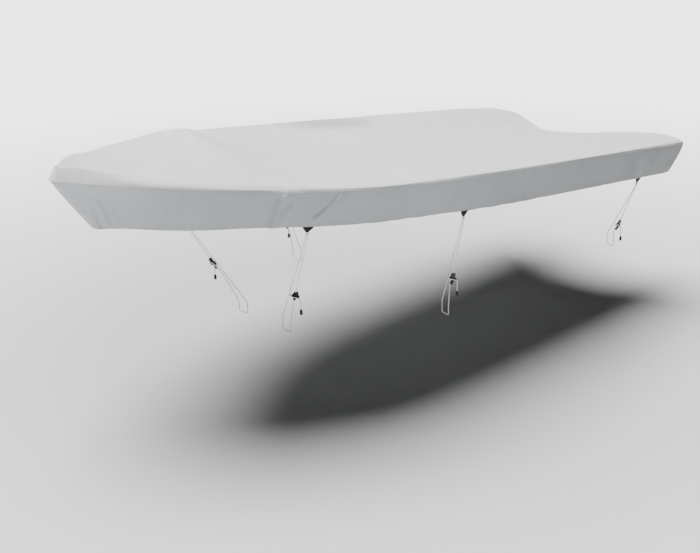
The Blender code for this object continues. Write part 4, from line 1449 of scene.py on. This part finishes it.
def build_top():
    """The grid of the top, the rings over its edge, and its inner side."""
    wide = CELLS_ACROSS + 1
    points, flat, wear = [], [], []
    for s in ALONG:
        for v in ACROSS:
            point = top_point(s, v)
            lengthwise = ease(s / END_FADE) * ease((1.0 - s) / END_FADE)
            point.z += lengthwise * (top_relief(point.x, point.y, v)
                                     + edge_gather(point.x, point.y, v)
                                     + rail_ridge(point.x, v))
            points.append(point)
            flat.append((point.x, point.y))
            ridge = math.exp(-((point.x - PEAK.x) / 0.05) ** 2) * (1.0 - abs(v))
            wear.append(0.25 * ridge + 0.6 * math.exp(-(1.0 - abs(v)) / 0.015))
    faces = [[i * wide + j, (i + 1) * wide + j, (i + 1) * wide + j + 1, i * wide + j + 1]
             for i in range(ROWS_ALONG) for j in range(CELLS_ACROSS)]
    previous, plan_out = rim_indices(), {}
    points = draw_in_edge(points, previous)
    for ring in range(1, SHOULDER_RINGS + 1):
        share = ring / SHOULDER_RINGS
        start = len(points)
        for k, entry in enumerate(RING):
            points.append(shoulder_point(entry, share))
            spread_out = SECTION["shoulder"](entry.point.x) * share * 1.5
            flat.append((entry.point.x + entry.outward.x * spread_out,
                         entry.point.y + entry.outward.y * spread_out))
            wear.append(0.6 + 0.4 * ring / SHOULDER_RINGS)
            if ring == SHOULDER_RINGS:
                plan_out[start + k] = entry.outward
        current = list(range(start, len(points)))
        for k in range(len(current)):
            n = (k + 1) % len(current)
            faces.append([previous[k], current[k], current[n], previous[n]])
        previous = current
    normals = sheet_normals(points, faces)
    if normals[wide * (ROWS_ALONG // 2) + CELLS_ACROSS // 2].z < 0.0:
        faces = [list(reversed(face)) for face in faces]
        normals = [-n for n in normals]
    inward = [plan_out.get(i, n) * -CLOTH for i, n in enumerate(normals)]
    piece = make_sheet("canvas_top", points, faces, inward, flat, wear)
    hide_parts("top_panel")
    put_on(piece, TOP_CANVAS, "cover_cloth")
    return piece


TOP = build_top()
print("top panel:", len(TOP.data.polygons), "faces")


# %% [markdown]
# ## The skirts
# The two side skirts meet at the stem, where the bow is sharpest, and turn the
# stern corners for a hand's breadth. A third, shorter skirt closes the stern
# between them. Rows of points are close together where the cloth is doubled, at
# the seam and at the hem, and further apart between.

# %% Rows and stretches of the skirts
STERN_WRAP = 0.045          # how far a side skirt turns the stern corner
# Depths of the rows below the seam, and heights of those above the hem's edge
SEAM_ROWS = (0.0, 0.0008, 0.0018, 0.0032, 0.0046, 0.0066, 0.0086, 0.0102, 0.0114,
             0.0124, 0.0134, 0.0146, 0.018)
HEM_ROWS = (0.0245, 0.0225, 0.0212, 0.0200, 0.0185, 0.0170, 0.0150, 0.0105, 0.006,
            0.0022, 0.0007, 0.0)
PLAIN_ROWS = 19


def depths(drop):
    """Depths of a skirt's rows below the seam."""
    low, high = SEAM_ROWS[-1], drop - HEM_ROWS[0]
    plain = [low + (high - low) * i / PLAIN_ROWS for i in range(1, PLAIN_ROWS)]
    return list(SEAM_ROWS) + plain + [drop - up for up in HEM_ROWS]


def shifted(entry, neighbour):
    """The end of a panel, moved back from the next panel by half the sewn gap."""
    way = neighbour.seam - entry.seam
    step = Vector((way.x, way.y, 0.0)).normalized() * (0.5 * SEAM_GAP)
    return entry._replace(point=entry.point + step, seam=entry.seam + step)


def skirt_runs():
    """The stretches of the seam that each skirt hangs from, with the run along it."""
    count = len(RING)
    corner = max(range(count), key=lambda i: RING[i].seam.y - RING[i].seam.x)
    port_end = corner
    while RING[port_end].seam.y > RING[corner].seam.y - STERN_WRAP:
        port_end += 1
    starboard_end = port_end
    while RING[starboard_end + 1].seam.y > -RING[port_end].seam.y - 1e-4:
        starboard_end += 1
    round_again = RING + RING[:1]
    runs = [0.0]
    for a, b in zip(round_again, round_again[1:]):
        runs.append(runs[-1] + (b.seam - a.seam).length)
    spans = {"port": (0, port_end), "stern": (port_end, starboard_end),
             "starboard": (starboard_end, count)}
    return {name: (round_again[a:b + 1], runs[a:b + 1]) for name, (a, b) in spans.items()}


SKIRT_RUNS = skirt_runs()
print("lengths along the seam:",
      {name: round(runs[-1] - runs[0], 3) for name, (_, runs) in SKIRT_RUNS.items()})


# %% Build the skirts
def build_skirt(name, entries, runs):
    """One skirt: columns of points hang from the places on its stretch of the seam."""
    entries = ([shifted(entries[0], entries[1])] + entries[1:-1]
               + [shifted(entries[-1], entries[-2])])
    points, inward, flat, wear = [], [], [], []
    for entry, run in zip(entries, runs):
        drop = SECTION["drop"](entry.point.x)
        for depth in depths(drop):
            points.append(skirt_point(entry, depth, run))
            doubled = depth > drop - HEM_DEPTH or depth < FELL_DEPTH
            inward.append(entry.outward * -(HEM if depth > drop - HEM_DEPTH else CLOTH))
            flat.append((run, depth))
            wear.append(max(math.exp(-depth / 0.010), math.exp(-(drop - depth) / 0.012),
                            0.45 if doubled else 0.0))
    wide = len(depths(0.2))
    faces = [[i * wide + j, i * wide + j + 1, (i + 1) * wide + j + 1, (i + 1) * wide + j]
             for i in range(len(entries) - 1) for j in range(wide - 1)]
    normals = sheet_normals(points, faces)
    middle = (len(entries) // 2) * wide + wide // 2
    if normals[middle].dot(entries[len(entries) // 2].outward) < 0.0:
        faces = [list(reversed(face)) for face in faces]
    piece = make_sheet("canvas_skirt_" + name, points, faces, inward, flat, wear)
    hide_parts("skirt_" + name)
    return put_on(piece, SHADED_SIDE_CANVAS, "cover_cloth")


SKIRTS = {name: build_skirt(name, *span) for name, span in SKIRT_RUNS.items()}
print({name: len(piece.data.polygons) for name, piece in SKIRTS.items()})


# %% [markdown]
# ## The stitches
# Nobody places thousands of stitches by hand. A Geometry Nodes tree takes a line,
# spaces points along it at one stitch length, puts the same small shape on every
# point and turns it along the line and out from the cloth. A fixed seed varies
# each one slightly. The result is then kept as a plain mesh.

# %% A tree that sews along a line
STITCH_PITCH, STITCH_LENGTH, STITCH_WIDTH = 0.0076, 0.0056, 0.0011
STITCH_VARIES = (0.88, 1.08)            # shares of the length


def stitch_tree():
    """The tree, and the identifiers of its named inputs."""
    tree = bpy.data.node_groups.new("sew along a line", "GeometryNodeTree")
    face, nodes, links = tree.interface, tree.nodes, tree.links
    face.new_socket("Line", in_out="INPUT", socket_type="NodeSocketGeometry")
    sizes = {}
    for name, kind, value in (("Pitch", "Float", STITCH_PITCH),
                              ("Length", "Float", STITCH_LENGTH),
                              ("Width", "Float", STITCH_WIDTH), ("Seed", "Int", 0)):
        socket = face.new_socket(name, in_out="INPUT", socket_type="NodeSocket" + kind)
        socket.default_value = value
        sizes[name] = socket.identifier
    sizes["Thread"] = face.new_socket("Thread", in_out="INPUT",
                                      socket_type="NodeSocketMaterial").identifier
    face.new_socket("Stitches", in_out="OUTPUT", socket_type="NodeSocketGeometry")
    given, result = nodes.new("NodeGroupInput"), nodes.new("NodeGroupOutput")

    # Points along the line, one pitch apart.
    curve = nodes.new("GeometryNodeMeshToCurve")
    spaced = nodes.new("GeometryNodeResampleCurve")
    spaced.mode = "LENGTH"
    links.new(given.outputs["Line"], curve.inputs["Mesh"])
    links.new(curve.outputs[0], spaced.inputs["Curve"])
    links.new(given.outputs["Pitch"], spaced.inputs["Length"])

    # One stitch starts as a ball a metre wide, and is scaled down further on.
    stitch = nodes.new("GeometryNodeMeshUVSphere")
    stitch.inputs["Segments"].default_value = 6
    stitch.inputs["Rings"].default_value = 4
    stitch.inputs["Radius"].default_value = 0.5

    # It is turned out from the cloth first, and then along the line.
    out = nodes.new("GeometryNodeInputNamedAttribute")
    out.data_type = "FLOAT_VECTOR"
    out.inputs["Name"].default_value = "outward"
    tangent = nodes.new("GeometryNodeInputTangent")
    outward_turn = nodes.new("FunctionNodeAlignRotationToVector")
    outward_turn.axis = "Z"
    links.new(out.outputs[0], outward_turn.inputs["Vector"])
    along_turn = nodes.new("FunctionNodeAlignRotationToVector")
    along_turn.axis, along_turn.pivot_axis = "X", "Z"
    links.new(outward_turn.outputs[0], along_turn.inputs["Rotation"])
    links.new(tangent.outputs[0], along_turn.inputs["Vector"])

    # Its length varies a little from stitch to stitch.
    vary = nodes.new("FunctionNodeRandomValue")
    vary.data_type = "FLOAT"
    vary.inputs[2].default_value, vary.inputs[3].default_value = STITCH_VARIES
    links.new(given.outputs["Seed"], vary.inputs["Seed"])
    long = nodes.new("ShaderNodeMath")
    long.operation = "MULTIPLY"
    links.new(given.outputs["Length"], long.inputs[0])
    links.new(vary.outputs[1], long.inputs[1])
    size = nodes.new("ShaderNodeCombineXYZ")
    links.new(long.outputs[0], size.inputs[0])
    links.new(given.outputs["Width"], size.inputs[1])
    links.new(given.outputs["Width"], size.inputs[2])

    # A copy is put on every point, and the copies are made real, smooth and of thread.
    placed = nodes.new("GeometryNodeInstanceOnPoints")
    links.new(spaced.outputs[0], placed.inputs["Points"])
    links.new(stitch.outputs[0], placed.inputs["Instance"])
    links.new(along_turn.outputs[0], placed.inputs["Rotation"])
    links.new(size.outputs[0], placed.inputs["Scale"])
    real = nodes.new("GeometryNodeRealizeInstances")
    smooth = nodes.new("GeometryNodeSetShadeSmooth")
    finish = nodes.new("GeometryNodeSetMaterial")
    links.new(placed.outputs[0], real.inputs[0])
    links.new(real.outputs[0], smooth.inputs[0])
    links.new(smooth.outputs[0], finish.inputs["Geometry"])
    links.new(given.outputs["Thread"], finish.inputs["Material"])
    links.new(finish.outputs[0], result.inputs[0])
    return tree, sizes


SEWING, SEWING_INPUTS = stitch_tree()
print("inputs:", SEWING_INPUTS)


# %% Turn a line into stitches
STITCH_LIFT = 0.0002        # the thread lies on the cloth


def line_object(name, lines):
    """Loose edges along one or more lines of (point, outward)."""
    points, edges, outward = [], [], []
    for line in lines:
        start = len(points)
        points += [tuple(p - ORIGIN) for p, _ in line]
        outward += [value for _, way in line for value in way]
        edges += [(start + i, start + i + 1) for i in range(len(line) - 1)]
    mesh = bpy.data.meshes.new(name)
    mesh.from_pydata(points, edges, [])
    layer = mesh.attributes.new("outward", "FLOAT_VECTOR", "POINT")
    layer.data.foreach_set("vector", outward)
    return linked(name, mesh)


def sew(name, lines, seed):
    """Sew along the lines, and keep the stitches as a plain mesh."""
    line = line_object(name + "_line", lines)
    modifier = line.modifiers.new("sewing", "NODES")
    modifier.node_group = SEWING
    modifier[SEWING_INPUTS["Seed"]] = seed
    modifier[SEWING_INPUTS["Thread"]] = THREAD
    depsgraph = bpy.context.evaluated_depsgraph_get()
    mesh = bpy.data.meshes.new_from_object(line.evaluated_get(depsgraph))
    mesh.name = name
    piece = linked(name, mesh)
    bpy.data.objects.remove(line, do_unlink=True)
    return put_on(piece, THREAD, "cover_cloth")


print("one stitch each", STITCH_PITCH * 1000, "mm")


# %% Sew the seams, the hem and the joins
JOIN_INSET = 0.006          # of a join's stitches from the end of the panel


def row_below_seam(depth_of):
    """Lines along every skirt, at a depth that depends on its drop."""
    lines = []
    for entries, runs in SKIRT_RUNS.values():
        line = []
        for entry, run in list(zip(entries, runs))[1:-1]:
            depth = depth_of(SECTION["drop"](entry.point.x))
            line.append((skirt_point(entry, depth, run) + entry.outward * STITCH_LIFT,
                         entry.outward))
        lines.append(line)
    return lines


def row_down_end(name, last):
    """A line of stitches down one end of a skirt, beside the join with the next."""
    entries, runs = SKIRT_RUNS[name]
    step = -1 if last else 1
    at = len(entries) - 1 if last else 0
    while abs(runs[at] - runs[-1 if last else 0]) < JOIN_INSET:
        at += step
    entry, run = entries[at], runs[at]
    drop = SECTION["drop"](entry.point.x)
    depths_down = [drop * (0.06 + 0.84 * k / 24) for k in range(25)]
    return [(skirt_point(entry, depth, run) + entry.outward * STITCH_LIFT, entry.outward)
            for depth in depths_down]


SEAM_STITCHES = sew("stitches_seam",
                    [line for depth in SEAM_STITCH_ROWS
                     for line in row_below_seam(lambda drop, d=depth: d)], seed=11)
HEM_STITCHES = sew("stitches_hem", row_below_seam(lambda drop: drop - HEM_STITCH_UP), seed=23)
END_STITCHES = sew("stitches_joins", [row_down_end(name, last) for name in SKIRT_RUNS
                                      for last in (False, True)], seed=37)
for piece in (SEAM_STITCHES, HEM_STITCHES, END_STITCHES):
    print(piece.name, len(piece.data.polygons), "faces")


# %% [markdown]
# ## Floor and light
# The floor is a pale sheet, far larger than the cover, so no edge of it
# shows. Round the cover it is painted darker, as painted shade, and it grows
# paler further out. A Sun lamp shines evenly everywhere, and a wide angle makes
# it as soft as a studio's light tent. It stands high on the far side and a little
# ahead, so the top is the brightest face, the near skirt is lit by the floor
# alone, and the cover's soft shadow falls where the skirt would pick up light
# from the floor.

# %% Lay the floor
FLOOR_HALF_SIZE = 2000.0
FLOOR_SHADED_NEAR, FLOOR_FAR = 0.30, 0.90      # painted shade: the floor is darker near the cover and paler away from it
FLOOR_FADE = (2.0, 8.0)


def build_floor(height, size):
    """A square at the given height, with its own pale material, painted darker near the cover
    as painted shade.
    """
    points = [(x * size, y * size, height) for x, y in ((-1, -1), (1, -1), (1, 1), (-1, 1))]
    floor = make_object("floor", points, [[0, 1, 2, 3]])
    made, tree, shader, coordinates = new_material("studio_floor", grey(0.60))
    away = tree.nodes.new("ShaderNodeVectorMath")
    away.operation = "LENGTH"
    tree.links.new(coordinates.outputs["Object"], away.inputs[0])
    out_of_painted_shade = spread(tree, away.outputs["Value"], *FLOOR_FADE, 0.0, 1.0)
    feed(tree, shader.inputs["Base Color"],
         mixed(tree, out_of_painted_shade, grey(FLOOR_SHADED_NEAR), grey(FLOOR_FAR)))
    shader.inputs["Roughness"].default_value = 0.9
    floor.data.materials.append(made)
    return floor


FLOOR = build_floor(-ORIGIN.z, FLOOR_HALF_SIZE)
print("floor at z", round(-ORIGIN.z, 5))


# %% Hang the light
SUN_FROM = Vector((0.12, -0.26, 1.00))
SUN_STRENGTH, SUN_WIDTH = 13.5, 45.0
SKY_COLOUR, SKY_STRENGTH = (0.98, 0.99, 1.0, 1.0), 0.05


def soft_sun(name, from_way, strength, softness):
    """Even light from one part of the sky; softness is how wide it looks, in degrees."""
    data = bpy.data.lights.new(name, "SUN")
    data.energy, data.angle = strength, math.radians(softness)
    lamp = linked(name, data)
    lamp.rotation_euler = (-from_way).to_track_quat("-Z", "Y").to_euler()
    return lamp


soft_sun("soft light", SUN_FROM, SUN_STRENGTH, SUN_WIDTH)
world = bpy.data.worlds.new("studio")
world.use_nodes = True
sky = world.node_tree.nodes["Background"]
sky.inputs["Color"].default_value = SKY_COLOUR
sky.inputs["Strength"].default_value = SKY_STRENGTH
bpy.context.scene.world = world
print("light hung")
